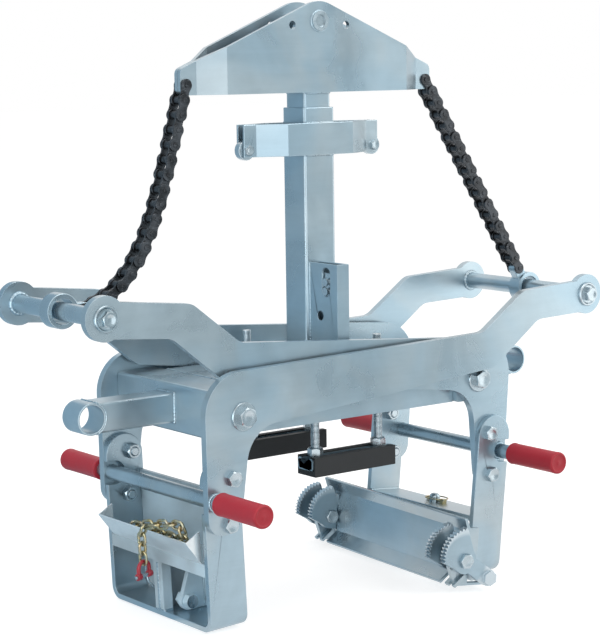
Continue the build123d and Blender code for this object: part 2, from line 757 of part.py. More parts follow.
with BuildPart() as anchor_pins:
    with BuildSketch(Plane.XZ):
        with Locations((ANCHOR_X, ANCHOR_Z), (-ANCHOR_X, ANCHOR_Z)):
            Circle(LINK_PIN_D / 2)
    extrude(amount=INNER_PLATE_Y + LINK_PLATE_T + LINK_PIN_PROUD, both=True)
keep(anchor_pins, "chain_anchor_pins")


# Roller chains from the headstock to the crossbars

BAR_A = at(ARM_A, ARM_REACH, ARM_RISE)
BAR_B = at(ARM_B, ARM_REACH, ARM_RISE)
RIGHT_SPAN = hypot(BAR_A.X - ANCHOR_X, BAR_A.Z - ANCHOR_Z)
LEFT_SPAN = hypot(BAR_B.X + ANCHOR_X, BAR_B.Z - ANCHOR_Z)
LINKS = int((RIGHT_SPAN - EYE_MIN) / PITCH)
EYE_REACH = RIGHT_SPAN - LINKS * PITCH


def chain_reach(bend):
    """End point of a chain that starts straight and turns by a growing share of the bend."""
    across = 0.0
    up = 0.0
    for i in range(LINKS + 1):
        length = PITCH if i < LINKS else EYE_REACH
        turn = bend * (i / LINKS) ** SAG_POWER
        across += length * cos(turn)
        up += length * sin(turn)
    return across, up


slack_low = 0.0
slack_high = pi
while slack_high - slack_low > 1e-9:
    middle = (slack_low + slack_high) / 2
    if hypot(*chain_reach(middle)) > LEFT_SPAN:
        slack_low = middle
    else:
        slack_high = middle
SAG = slack_low


def pins_of(start, end, bend):
    """Pin centres of a chain from its anchor to its last link, as x and z."""
    across, up = chain_reach(bend)
    first = atan2(end[1] - start[1], end[0] - start[0]) - atan2(up, across)
    points = [start]
    for i in range(LINKS):
        turn = first + bend * (i / LINKS) ** SAG_POWER
        x, z = points[-1]
        points.append((x + PITCH * cos(turn), z + PITCH * sin(turn)))
    return points


def link_frame(start, end):
    """Plane of one link: x along it, normal to the front."""
    along = (end[0] - start[0], 0, end[1] - start[1])
    return Plane(origin=(start[0], 0, start[1]), x_dir=along, z_dir=(0, -1, 0))


def draw_link_plate():
    """Waisted side plate between two pins, the first at the origin."""
    waist_up = ((LINK_HEIGHT / 2 + LINK_WAIST_R) ** 2 - (PITCH / 2) ** 2) ** 0.5
    with Locations((PITCH / 2, 0)):
        Rectangle(PITCH, LINK_HEIGHT)
    with Locations((PITCH / 2, waist_up), (PITCH / 2, -waist_up)):
        Circle(LINK_WAIST_R, mode=Mode.SUBTRACT)
    with Locations((0, 0), (PITCH, 0)):
        Circle(LINK_HEIGHT / 2)


def make_chain(pins, first, last):
    """Links from one pin number to another: even ones are inner links, odd ones carry the pins."""
    with BuildPart() as chain:
        for i in range(first, last):
            frame = link_frame(pins[i], pins[i + 1])
            inner = i % 2 == 0
            low = INNER_PLATE_Y if inner else OUTER_PLATE_Y
            for end in (1, -1):
                with BuildSketch(frame.offset(end * low)):
                    draw_link_plate()
                    if inner:
                        with Locations((0, 0), (PITCH, 0)):
                            Circle(LINK_PIN_D / 2 + LINK_PLAY, mode=Mode.SUBTRACT)
                extrude(amount=end * LINK_PLATE_T)
            if inner:
                bushes = [(0, 0)] if i > 0 else []
                bushes += [(PITCH, 0)] if i < LINKS - 1 else []
                with BuildSketch(frame):
                    with Locations(*bushes):
                        Circle(ROLLER_OD / 2)
                        Circle(LINK_PIN_D / 2 + LINK_PLAY, mode=Mode.SUBTRACT)
                extrude(amount=LINK_INNER_W / 2, both=True)
            else:
                with BuildSketch(frame):
                    with Locations((0, 0), (PITCH, 0)):
                        Circle(LINK_PIN_D / 2)
                extrude(amount=OUTER_PLATE_Y + LINK_PLATE_T + LINK_PIN_PROUD, both=True)
        if last == LINKS and LINKS % 2:
            with BuildSketch(link_frame(pins[-1], pins[-2])):
                Circle(LINK_PIN_D / 2 + LINK_PLAY)
            extrude(amount=INNER_PLATE_Y + LINK_PLATE_T + LINK_PIN_PROUD, both=True)
    return chain


def make_eye(pin, bar):
    """End eye: ring round a crossbar and a tab that reaches up to the last pin."""
    frame = link_frame(pin, bar)
    with BuildPart() as eye:
        with BuildSketch(frame):
            Circle(EYE_TAB_H / 2)
            with Locations((EYE_REACH / 2, 0)):
                Rectangle(EYE_REACH, EYE_TAB_H)
        extrude(amount=EYE_TAB_T / 2, both=True)
        with BuildSketch(frame):
            with Locations((EYE_REACH, 0)):
                Circle(EYE_LOOP_OD / 2)
        extrude(amount=EYE_LOOP_W / 2, both=True)
        with BuildSketch(frame):
            Circle(LINK_PIN_D / 2 + 2 * LINK_PLAY)
            with Locations((EYE_REACH, 0)):
                Circle(EYE_LOOP_BORE / 2)
        extrude(amount=EYE_LOOP_W, both=True, mode=Mode.SUBTRACT)
    return eye


RIGHT_PINS = pins_of((ANCHOR_X, ANCHOR_Z), (BAR_A.X, BAR_A.Z), 0.0)
LEFT_PINS = [(-x, z) for x, z in pins_of((ANCHOR_X, ANCHOR_Z), (-BAR_B.X, BAR_B.Z), SAG)]
keep(make_chain(RIGHT_PINS, 0, LINKS), "right_chain")
keep(make_eye(RIGHT_PINS[-1], (BAR_A.X, BAR_A.Z)), "right_chain_eye")
LEFT_SPLITS = [round(LINKS * (i / LEFT_SECTIONS) ** 0.5) for i in range(LEFT_SECTIONS + 1)]
for number in range(LEFT_SECTIONS):
    keep(make_chain(LEFT_PINS, LEFT_SPLITS[number], LEFT_SPLITS[number + 1]), f"left_chain_{number + 1}")
keep(make_eye(LEFT_PINS[-1], (BAR_B.X, BAR_B.Z)), "left_chain_eye")


# Left jaw: web, lever bracket, tray

LEFT_INSIDE = JAW_A_HALF - JAW_T
WEB_OUT = JAW_W / 2 - WEB_T


def height(up):
    """Height above a jaw's underside, as the jaw's own second direction."""
    return up - JAW_DOWN


def upright(jaw, across):
    """Upright plane across a jaw: x along the jaw, y up, normal outwards."""
    return Plane(origin=at(jaw, across, 0), x_dir=jaw.z_dir, z_dir=-jaw.x_dir)


with BuildPart() as web:
    with BuildSketch(upright(JAW_A, JAW_W / 2)):
        low = height(JAW_T)
        corner = [
            (LEFT_INSIDE, low + WEB_HEIGHT),
            (LEFT_INSIDE, low + JAW_BEND_R),
            (LEFT_INSIDE - JAW_BEND_R, low),
        ]
        with BuildLine():
            Polyline(*corner, *[(-x, y) for x, y in reversed(corner)], close=True)
        make_face()
    extrude(amount=WEB_T)
    with BuildSketch(JAW_A):
        with Locations((-JAW_W / 2 + LEDGE_T / 2, height(LEDGE_UP + LEDGE_H / 2))):
            Rectangle(LEDGE_T, LEDGE_H)
    extrude(amount=LEFT_INSIDE, both=True)
    with BuildSketch(JAW_A):
        with Locations((-JAW_W / 2, height(JAW_T))):
            Rectangle(POST_DEPTH, LEDGE_UP - JAW_T, align=(Align.MIN, Align.MIN))
    extrude(amount=POST_W / 2, both=True)
    with BuildSketch(JAW_A.offset(-POST_W / 2)):
        with Locations((-JAW_W / 2, height(JAW_T))):
            Rectangle(JAW_W - WEB_T, LEDGE_UP - JAW_T, align=(Align.MIN, Align.MIN))
    extrude(amount=RIB_T)
keep(web, "left_jaw_web")

with BuildPart() as lever:
    bolt_across, bolt_up = LEVER_BOLT_AT
    foot = height(bolt_up - LEVER_R)
    with BuildSketch(JAW_A.offset(LEVER_FRONT - LEVER_T)):
        with Locations((bolt_across, height(bolt_up))):
            Circle(LEVER_R)
        with BuildLine():
            Polyline(
                (bolt_across - LEVER_R, height(bolt_up)),
                (bolt_across - LEVER_R + LEVER_LEAN, height(LEVER_TOP)),
                (WEB_OUT, height(LEVER_TOP)),
                (WEB_OUT, foot),
                (bolt_across, foot),
                close=True,
            )
        make_face()
    extrude(amount=LEVER_T)
    for front, amount in ((LEVER_FRONT, BOLT_HEAD), (LEVER_FRONT - LEVER_T, -BOLT_NUT)):
        with BuildSketch(JAW_A.offset(front)):
            with Locations((bolt_across, height(bolt_up))):
                RegularPolygon(BOLT_AF / 2, 6, major_radius=False)
        extrude(amount=amount)
keep(lever, "left_lever_bracket")

TRAY_BACK = -JAW_W / 2
TRAY_FOLD = height(LEDGE_UP + LEDGE_H)
TRAY_HALF = LEFT_INSIDE - TRAY_GAP
TRAY_TIP = (TRAY_BACK - TRAY_LIP_OUT, TRAY_FOLD + TRAY_LIP_H)
with BuildPart() as tray:
    with BuildSketch(JAW_A):
        with BuildLine():
            Polyline(*ribbon([(WEB_OUT, TRAY_FOLD), (TRAY_BACK, TRAY_FOLD), TRAY_TIP], TRAY_T), close=True)
        make_face()
    extrude(amount=TRAY_HALF, both=True)
    for end in (1, -1):
        with BuildSketch(JAW_A.offset(end * TRAY_HALF)):
            with BuildLine():
                Polyline((TRAY_BACK, TRAY_FOLD + TRAY_END_H), (TRAY_BACK, TRAY_FOLD), TRAY_TIP, close=True)
            make_face()
        extrude(amount=-end * TRAY_T)
keep(tray, "chain_tray")


# Securing chain heaped in the tray, one end hanging over the lip with a coupling link

HEAP_FRAME = Plane(origin=at(JAW_A, TRAY_BACK - TRAY_T, TRAY_FOLD), x_dir=JAW_A.z_dir, z_dir=JAW_A.y_dir)


def heap_point(along, out, up):
    """Point by its distance to the front, out of the tray's back and above its fold."""
    return HEAP_FRAME.from_local_coords((along, -out, up))


heap_stops = [
    heap_point(-HEAP_REAR, HEAP_OUT, HEAP_UP),
    heap_point(HEAP_FRONT, HEAP_OUT, HEAP_UP),
    heap_point(HEAP_FRONT, HEAP_OUT + HEAP_LEAN, HEAP_UP + HEAP_RISE),
    heap_point(HANG_AT, HANG_OUT, HANG_UP),
    heap_point(HANG_AT, HANG_OUT, -HANG_DOWN),
]
with BuildLine() as heap_path:
    FilletPolyline(*heap_stops, radius=[HEAP_R, HEAP_R, HANG_R])
heap_wire = heap_path.wire()
RING_SHORT = RING_PITCH - WIRE_D - 2 * RING_SLACK
RING_LONG = RING_PITCH + WIRE_D


def walk(wire):
    """Points from a wire's end back to its start, a short and a long step apart by turns."""
    points = [wire.position_at(1)]
    left = wire.length
    while left > 0:
        step = RING_SHORT if len(points) % 2 else RING_LONG
        spot = wire.position_at(left / wire.length)
        if (spot - points[-1]).length >= step:
            points.append(spot)
        left -= WALK_STEP
    return points


joints = walk(heap_wire)


def ring_frames(points):
    """Planes of the rings along a line of joints, each turned a quarter against the one before."""
    side = HEAP_FRAME.z_dir.cross(heap_stops[2] - heap_stops[3])
    frames = []
    for i in range(len(points) - 1):
        along = (points[i + 1] - points[i]).normalized()
        side = (side - along * side.dot(along)).normalized()
        across = side if i % 2 == 0 else along.cross(side)
        frames.append(Plane(origin=(points[i] + points[i + 1]) / 2, x_dir=along, z_dir=across))
    return frames


def make_ring(length, width, wire):
    """Long ring of round wire, lying along x, by its outside sizes."""
    bend = (width - wire) / 2
    run = (length - width) / 2
    with BuildPart() as ring:
        with BuildLine() as ring_path:
            Line((-run, bend), (run, bend))
            RadiusArc((run, bend), (run, -bend), bend)
            Line((run, -bend), (-run, -bend))
            RadiusArc((-run, -bend), (-run, bend), bend)
        with BuildSketch(Plane(origin=(-run, bend, 0), x_dir=(0, 1, 0), z_dir=(1, 0, 0))) as ring_wire:
            Circle(wire / 2)
        sweep(ring_wire.sketch, path=ring_path.wire())
    return ring


ring_part = make_ring(RING_PITCH + 2 * WIRE_D, RING_W, WIRE_D).part
with BuildPart() as securing_chain:
    for frame in ring_frames(joints):
        with Locations(frame):
            add(ring_part)
keep(securing_chain, "securing_chain")

last_ring = ring_frames(joints)[0]
LOCK_CENTRE = joints[0] - HEAP_FRAME.z_dir * (LOCK_RISE - LOCK_WIRE_D + WIRE_D / 2)
LOCK_FRAME = Plane(origin=LOCK_CENTRE, x_dir=HEAP_FRAME.z_dir, z_dir=last_ring.y_dir)
LOCK_BEND = (LOCK_W - LOCK_WIRE_D) / 2
LOCK_RUN = LOCK_RISE - LOCK_W / 2
with BuildPart() as hammerlock:
    with BuildLine(LOCK_FRAME) as arch_path:
        Line((0, LOCK_BEND), (LOCK_RUN, LOCK_BEND))
        RadiusArc((LOCK_RUN, LOCK_BEND), (LOCK_RUN, -LOCK_BEND), LOCK_BEND)
        Line((LOCK_RUN, -LOCK_BEND), (0, -LOCK_BEND))
    foot_plane = Plane(origin=at(LOCK_FRAME, 0, LOCK_BEND), x_dir=LOCK_FRAME.y_dir, z_dir=LOCK_FRAME.x_dir)
    with BuildSketch(foot_plane):
        Circle(LOCK_WIRE_D / 2)
    sweep(path=arch_path.wire())
    with BuildSketch(Plane(origin=LOCK_CENTRE, x_dir=LOCK_FRAME.x_dir, z_dir=LOCK_FRAME.y_dir)):
        Circle(LOCK_PIN_D / 2)
    extrude(amount=LOCK_PIN_LENGTH / 2, both=True)
    for end in (1, -1):
        hub_at = LOCK_CENTRE + LOCK_FRAME.y_dir * (end * LOCK_BEND)
        with BuildSketch(Plane(origin=hub_at, x_dir=LOCK_FRAME.x_dir, z_dir=LOCK_FRAME.y_dir)):
            Circle(LOCK_HUB_D / 2)
        extrude(amount=LOCK_HUB_W / 2, both=True)
keep(hammerlock, "hammerlock")


# Right jaw: shelf, and the grip unit that swings under it on a king pin

with BuildPart() as shelf:
    with BuildSketch(JAW_B):
        with Locations((0, height(SHELF_UP - SHELF_T / 2))):
            Rectangle(JAW_W, SHELF_T)
    extrude(amount=JAW_B_HALF - JAW_T, both=True)
    with BuildSketch(Plane(origin=at(JAW_B, KING_AT, 0), x_dir=JAW_B.x_dir, z_dir=JAW_B.y_dir)):
        Circle(KING_D / 2 + KING_PLAY)
    extrude(amount=JAW_DOWN, both=True, mode=Mode.SUBTRACT)
keep(shelf, "right_jaw_shelf")

UNIT_FOOT = at(JAW_B, KING_AT, -JAW_DOWN)
unit_out = JAW_B.x_dir * cos(radians(UNIT_YAW)) + JAW_B.z_dir * sin(radians(UNIT_YAW))
unit_along = JAW_B.z_dir * cos(radians(UNIT_YAW)) - JAW_B.x_dir * sin(radians(UNIT_YAW))
UNIT = Plane(origin=UNIT_FOOT, x_dir=unit_out, z_dir=unit_along)


def unit_level(up):
    """Level plane of the unit at a height above the jaw's underside."""
    return Plane(origin=at(UNIT, 0, up), x_dir=UNIT.x_dir, z_dir=UNIT.y_dir)


FACE_BACK = FACE_AT - FACE_T
TONGUE_TOP = SHELF_UP - SHELF_T - TONGUE_GAP
with BuildPart() as grip_face:
    with BuildSketch(UNIT):
        with BuildLine():
            face_line = [FACE_TOP, (FACE_AT, FACE_UPPER), (FACE_AT, FACE_LOWER), FACE_LIP]
            Polyline(*ribbon(face_line, FACE_T), close=True)
        make_face()
    extrude(amount=UNIT_HALF, both=True)
    with BuildSketch(unit_level(TONGUE_TOP - TONGUE_T)):
        with BuildLine():
            Polyline(
                (FACE_BACK, TONGUE_W / 2),
                (FACE_BACK, -TONGUE_W / 2),
                (0, -TONGUE_R),
                (0, TONGUE_R),
                close=True,
            )
        make_face()
        Circle(TONGUE_R)
    extrude(amount=TONGUE_T)
    with BuildSketch(unit_level(0)):
        Circle(KING_D / 2 + HOLE_PLAY)
    extrude(amount=SHELF_UP, mode=Mode.SUBTRACT)
    for end in (1, -1):
        for middle, width, top in (
            (CAM_MIDDLE - CAM_SPACING / 2, CAM_T + 2 * CAM_SLOT_PLAY, CAM_SLOT_TOP),
            (CAM_MIDDLE, HOOK_T + 2 * HOLE_PLAY, HOOK_NECK + STOP_PLAY),
        ):
            with BuildSketch(UNIT.offset(end * middle)):
                with Locations((FACE_AT, top - CAM_SLOT_TOP)):
                    Rectangle(2 * FACE_AT - 2 * HOOK_REAR, 2 * CAM_SLOT_TOP)
            extrude(amount=width / 2, both=True, mode=Mode.SUBTRACT)
keep(grip_face, "grip_face")

with BuildPart() as king_pin:
    with BuildSketch(unit_level(TONGUE_TOP - TONGUE_T - KING_HEAD)):
        Circle(KING_HEAD_D / 2)
    extrude(amount=KING_HEAD)
    with BuildSketch(unit_level(TONGUE_TOP - TONGUE_T)):
        Circle(KING_D / 2)
    extrude(amount=SHELF_UP + KING_PROUD - TONGUE_TOP + TONGUE_T)
    fillet(king_pin.faces().sort_by(Axis(UNIT_FOOT, UNIT.y_dir))[-1].edges(), KING_DOME_R)
    with BuildSketch(centred(UNIT, 0, SHELF_UP + LINCHPIN_UP)):
        Circle(LINCHPIN_D / 2 + HOLE_PLAY)
    extrude(amount=KING_D, both=True, mode=Mode.SUBTRACT)
keep(king_pin, "grip_king_pin")

with BuildPart() as linchpin:
    pin_plane = centred(UNIT, 0, SHELF_UP + LINCHPIN_UP)
    with BuildSketch(pin_plane):
        Circle(LINCHPIN_D / 2)
    extrude(amount=LINCHPIN_LENGTH / 2, both=True)
    with BuildSketch(pin_plane.offset(-LINCHPIN_LENGTH / 2)):
        with Locations((0, LINCHPIN_HEAD / 2 - LINCHPIN_UP + HOLE_PLAY)):
            Rectangle(LINCHPIN_HEAD, LINCHPIN_HEAD)
    extrude(amount=-LINCHPIN_HEAD)
    ring_back = (LINCHPIN_RING_D - LINCHPIN_LENGTH - LINCHPIN_HEAD) / 2
    ring_centre = pin_plane.from_local_coords((0, (LINCHPIN_D + LINCHPIN_WIRE_D) / 2 + HOLE_PLAY, ring_back))
    with Locations(Plane(origin=ring_centre, z_dir=pin_plane.y_dir)):
        Torus(LINCHPIN_RING_D / 2, LINCHPIN_WIRE_D / 2)
keep(linchpin, "linchpin")

TAIL_AT = (CAM_AT[0] + CAM_TAIL[0], CAM_AT[1] + CAM_TAIL[1])
HOOK_SHELF = TAIL_AT[1] - SPACER_D / 2 - STOP_PLAY
with BuildPart() as end_plates:
    for end in (1, -1):
        with BuildSketch(UNIT.offset(end * CAM_MIDDLE)):
            nose = CAM_AT[0] + HOOK_NOSE
            corners = [
                (HOOK_REAR, HOOK_TOP),
                (FACE_BACK, HOOK_TOP),
                (FACE_BACK, HOOK_NECK),
                (nose, CAM_AT[1] + HOOK_NOSE),
                (nose, CAM_AT[1] - HOOK_NOSE),
                (HOOK_NECK + HOOK_LEG, HOOK_SHELF - HOOK_LIP),
                (HOOK_TIP, HOOK_SHELF - HOOK_LIP),
                (HOOK_TIP, HOOK_SHELF),
                (HOOK_NECK, HOOK_SHELF),
                (HOOK_NECK, HOOK_UNDER),
                (HOOK_REAR, HOOK_UNDER),
            ]
            with BuildLine():
                Polyline(*corners, close=True)
            make_face()
            with Locations(CAM_AT):
                Circle(CAM_BOLT_D / 2 + HOLE_PLAY, mode=Mode.SUBTRACT)
        extrude(amount=HOOK_T / 2, both=True)
keep(end_plates, "grip_end_plates")


def cam_rim():
    """Toothed rim of a cam round its bolt, with a radius that grows towards the top, and its hub."""
    step = (CAM_LAST - CAM_FIRST) / CAM_TEETH
    points = []
    for i in range(2 * CAM_TEETH + 1):
        angle = CAM_FIRST + i * step / 2
        grown = CAM_R0 + (CAM_R1 - CAM_R0) * (angle - CAM_FIRST) / (CAM_LAST - CAM_FIRST)
        radius = grown if i % 2 else grown - TOOTH_H
        points.append((radius * cos(radians(angle)), radius * sin(radians(angle))))
    return points + [(-CAM_HUB_R, 0), (0, -CAM_HUB_R)]


CAM_INNER = CAM_MIDDLE - CAM_SPACING / 2
CAM_OUTER = CAM_MIDDLE + CAM_SPACING / 2
TAIL_TURN = atan2(CAM_TAIL[1], CAM_TAIL[0])
for end_name, end in (("front", -1), ("rear", 1)):
    with BuildPart() as cam_pair:
        for middle in (CAM_INNER, CAM_OUTER):
            with BuildSketch(centred(UNIT, *CAM_AT).offset(end * middle)):
                with BuildLine():
                    Polyline(*cam_rim(), close=True)
                make_face()
                Circle(CAM_HUB_R)
                with Locations((CAM_TAIL[0] / 2, CAM_TAIL[1] / 2)):
                    SlotCenterToCenter(hypot(*CAM_TAIL), 2 * CAM_TAIL_R, rotation=TAIL_TURN * 180 / pi)
                Circle(CAM_BOLT_D / 2 + CAM_PLAY, mode=Mode.SUBTRACT)
            extrude(amount=CAM_T / 2, both=True)
        with BuildSketch(centred(UNIT, *TAIL_AT).offset(end * CAM_MIDDLE)):
            Circle(SPACER_D / 2)
        extrude(amount=(CAM_SPACING - CAM_T) / 2, both=True)
        for side in (1, -1):
            cam_out = end * CAM_MIDDLE + side * (CAM_SPACING + CAM_T) / 2
            with BuildSketch(centred(UNIT, *TAIL_AT).offset(cam_out)):
                RegularPolygon(CAM_BOLT_AF / 2, 6, major_radius=False, rotation=30)
            extrude(amount=side * CAM_BOLT_HEAD)
    keep(cam_pair, f"{end_name}_cam_pair")

with BuildPart() as cam_bolts:
    for end in (1, -1):
        bolt_half = (CAM_SPACING + CAM_T) / 2 + CAM_SIDE_PLAY
        bolt_plane = centred(UNIT, *CAM_AT).offset(end * CAM_MIDDLE)
        with BuildSketch(bolt_plane):
            Circle(CAM_BOLT_D / 2)
        extrude(amount=bolt_half + CAM_BOLT_HEAD, both=True)
        for side in (1, -1):
            with BuildSketch(bolt_plane.offset(side * bolt_half)):
                RegularPolygon(CAM_BOLT_AF / 2, 6, major_radius=False, rotation=30)
            extrude(amount=side * CAM_BOLT_HEAD)
keep(cam_bolts, "cam_bolts")


# Height stops: rubber strips round C rails, hung from the deck on threaded rods

PAD_TOP = PIVOT_Z - STOP_TOP
RAIL_TOP = PAD_TOP - STOP_COVER
for face_name, side in (("front", -1), ("rear", 1)):
    with BuildPart() as rubber:
        with BuildSketch(Plane.YZ):
            with Locations((side * STOP_Y, PAD_TOP - STOP_H / 2)):
                Rectangle(STOP_W, STOP_H)
            with Locations((side * STOP_Y, RAIL_TOP - RAIL_H / 2)):
                Rectangle(RAIL_W, RAIL_H, mode=Mode.SUBTRACT)
            with Locations((side * STOP_Y, PAD_TOP)):
                Rectangle(RAIL_SLOT, 2 * STOP_COVER, mode=Mode.SUBTRACT)
        extrude(amount=STOP_LENGTH / 2, both=True)
    keep(rubber, f"{face_name}_stop_rubber")

    with BuildPart() as hanger:
        with BuildSketch(Plane.YZ):
            with Locations((side * STOP_Y, RAIL_TOP - RAIL_H / 2)):
                Rectangle(RAIL_W, RAIL_H)
                Rectangle(RAIL_W - 2 * RAIL_T, RAIL_H - 2 * RAIL_T, mode=Mode.SUBTRACT)
            with Locations((side * STOP_Y, RAIL_TOP)):
                Rectangle(RAIL_SLOT, 2 * RAIL_T, mode=Mode.SUBTRACT)
        extrude(amount=STOP_LENGTH / 2 + RAIL_END, both=True)
        for x in (ROD_X, -ROD_X):
            nut_low = RAIL_TOP - RAIL_T - RAIL_NUT_H
            with BuildSketch(Plane(origin=(x, side * STOP_Y, nut_low), z_dir=(0, 0, 1))):
                RegularPolygon(NUT_AF / 2, 6, major_radius=False)
            extrude(amount=RAIL_NUT_H)
            with BuildSketch(Plane(origin=(x, side * STOP_Y, nut_low), z_dir=(0, 0, 1))):
                Circle(ROD_D / 2)
            extrude(amount=PIVOT_Z + ROD_TOP - nut_low)
            with BuildSketch(Plane(origin=(x, side * STOP_Y, PAD_TOP), z_dir=(0, 0, 1))):
                RegularPolygon(NUT_AF / 2, 6, major_radius=False)
            extrude(amount=NUT_H)
    keep(hanger, f"{face_name}_stop_hanger")

with BuildPart() as rod_nuts:
    for low in (DECK_Z, DECK_Z - DECK_T - NUT_H):
        with BuildSketch(Plane.XY.offset(low)):
            with GridLocations(2 * ROD_X, 2 * STOP_Y, 2, 2):
                RegularPolygon(NUT_AF / 2, 6, major_radius=False)
                Circle(ROD_D / 2 + ROD_PLAY, mode=Mode.SUBTRACT)
        extrude(amount=NUT_H)
keep(rod_nuts, "stop_rod_nuts")
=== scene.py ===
"""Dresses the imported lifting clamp: zinc, welds, fasteners, chains, grips, and a plain studio."""

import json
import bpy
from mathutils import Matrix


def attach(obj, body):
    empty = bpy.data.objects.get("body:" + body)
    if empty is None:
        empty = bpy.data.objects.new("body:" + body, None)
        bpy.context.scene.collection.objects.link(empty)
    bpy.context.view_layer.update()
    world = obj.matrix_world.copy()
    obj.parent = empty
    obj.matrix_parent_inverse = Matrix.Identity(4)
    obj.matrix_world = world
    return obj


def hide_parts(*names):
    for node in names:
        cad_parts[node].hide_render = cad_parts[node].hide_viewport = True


bl_info = {
    "name": "Lifting clamp dresser",
    "version": (1, 0, 0),
    "blender": (4, 5, 0),
    "location": "3D View > Sidebar > Clamp",
    "description": "Gives the packed lifting clamp its finishes, welds, fasteners, chains and grips",
    "category": "Object",
}

from math import atan2, cos, hypot, pi, radians, sin

import bmesh
import bpy
from bpy.props import FloatProperty, FloatVectorProperty, IntProperty, PointerProperty
from mathutils import Matrix, Vector

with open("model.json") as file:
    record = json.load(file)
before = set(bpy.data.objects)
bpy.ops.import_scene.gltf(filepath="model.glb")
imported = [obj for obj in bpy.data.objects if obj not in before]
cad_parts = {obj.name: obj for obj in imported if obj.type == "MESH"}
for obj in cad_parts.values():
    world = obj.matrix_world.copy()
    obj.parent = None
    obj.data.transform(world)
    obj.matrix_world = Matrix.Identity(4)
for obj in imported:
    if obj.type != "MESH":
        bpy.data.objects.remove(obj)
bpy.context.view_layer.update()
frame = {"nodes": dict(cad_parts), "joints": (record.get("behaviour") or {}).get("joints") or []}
JOINT_AT = {joint["name"]: joint.get("pos_m") for joint in frame["joints"]}
MM = 0.001

# Places on the clamp, in millimetres, as the part's source has them
PIVOT_X = 269.5
PIVOT_Z = 361.48
DECK_Z = PIVOT_Z + 41.0
DECK_T = 6.0
HEAD_Z = PIVOT_Z + 518.0
HEAD_PIN_Z = HEAD_Z + 122.0
HEAD_PIN_R = 17.0
HEAD_INNER = 27.0
HEAD_OUTER = 35.0
BEAM_HALF = 25.0
EYE_X = 470.0
EYE_R = 27.0
EYE_ROOT = 10.2
BOX_FACES = (309.5, 229.5)
DECK_HALF = 118.0
MAST_W = 67.0
MAST_D = 63.0
MAST_CORNER = 6.0
GUIDE_ENDS = (410.0, 466.0)
LATCH_SIDES = (-26.0, 0.0)
LATCH_FRONT = -108.5
LATCH_TOP = PIVOT_Z + 225.0
ARM_A_HALF = 166.5
ARM_B_HALF = 142.0
ARM_T = 14.0
JAW_T = 10.0
ARM_END = (790.0, 134.5)
CROSSBAR_R = 15.0
HANDLE_AT = (-57.0, -135.0)
HANDLE_R = 13.0
GRIP_ROOT = 181.0
JAW_BOLTS = [(-23.0, -100.0), (-31.0, -175.5)]
JAW_AT = (-32.0, -195.0)
JAW_LEAN = radians(2.65)
JAW_DOWN = 162.0
JAW_W = 74.0
JAW_BEND = 22.0
WEB_T = 8.0
LEDGE_FACES = (85.0, 107.0)
LEDGE_T = 10.0
POST_DEPTH = 18.0
POST_HALF = 13.0
LUG_BOLT = (-3.0, 27.0)
LUG_HEAD = 50.0
LUG_FACES = (40.0, 30.0)
SHELF_FACES = (105.0, 95.0)
UNIT_YAW = radians(5.3)
KING_AT = -3.0
TONGUE_FACES = (94.5, 84.5)
FACE_BACK = 86.0
END_PLATES = (211.0, 221.0)
CAM_AT = (105.5, 45.3)
CAM_MIDDLE = 216.0
CAM_HALF = 29.3
STOP_Y = 98.0
STOP_TOP = PIVOT_Z - 101.0
STOP_HALF = 92.0
ROD_XS = (70.0, -70.0)
ROD_TOP = PIVOT_Z + 96.0
PITCH = 25.4
LINKS = 17
SAG_POWER = 3.5
LEFT_SPLITS = [0, 10, 14, 17]

# Fasteners, in millimetres: across flats or radius, and height
BOLT_HEX = 24.0
NUT_T = 13.0
JAW_HEAD_T = 10.0
CAM_HEAD_T = 7.0
CAM_BOLT_R = 8.0
PIVOT_HEX = (30.0, 12.5)
PIVOT_WASHER = (24.0, 4.0)
END_DISH = (22.0, 5.0)
AXLE_HEX = (16.0, 6.4)
AXLE_R = 5.0
AXLE_HALF = 11.0

# Studio, in metres: the camera is the one fitted to the photograph
CAMERA_AT = (-2.0894, -2.7165, 0.9390)
CAMERA_AZIMUTH = radians(-37.24)
CAMERA_RISE = radians(7.6)
CAMERA_ROLL = radians(0.81)
FLOOR_REACH = 30.0
FLOOR_Z = -0.0006
MAT_Z = -0.0003
CLAMP_MIDDLE = Vector((0.0, 0.0, 0.5))
LEFT_JAW_MIDDLE = Vector((-0.36, 0.0, 0.12))
SHADE_BLUE = (0.42, 0.58, 0.7)

SIDES = (1, -1)
SHARP = 32.0
FLIP = Matrix.Rotation(pi, 4, "X")

finishes = {}
hardware = {}


# Places


def place(origin, x_dir, z_dir):
    """Matrix of a place given in metres by its origin, its x direction and its normal."""
    z = Vector(z_dir).normalized()
    x = Vector(x_dir).normalized()
    matrix = Matrix((x, z.cross(x), z)).transposed().to_4x4()
    matrix.translation = Vector(origin)
    return matrix


def at(where, across, up, out=0.0):
    """Point in metres, given in millimetres along a place's own directions."""
    return where @ Vector((across * MM, up * MM, out * MM))


def moved(where, across, up, out=0.0):
    """A place moved along its own directions by millimetres."""
    return where @ Matrix.Translation((across * MM, up * MM, out * MM))


def facing(where, across, up, out, side):
    """Place on one side of a part, its z pointing away from the part."""
    spot = moved(where, across, up, side * out)
    return spot if side > 0 else spot @ FLIP


def arm_place(side, turn):
    """Side view of an arm: x to its far end, y up."""
    along = (-side * cos(turn), 0, sin(turn))
    return place((side * PIVOT_X * MM, 0, PIVOT_Z * MM), along, (0, side, 0))


def jaw_place(arm):
    """Side view of a jaw: x inwards across its flat bar, y up along it."""
    inwards = arm.col[0].xyz * cos(JAW_LEAN) + arm.col[1].xyz * sin(JAW_LEAN)
    return place(at(arm, *JAW_AT), inwards, arm.col[2].xyz)


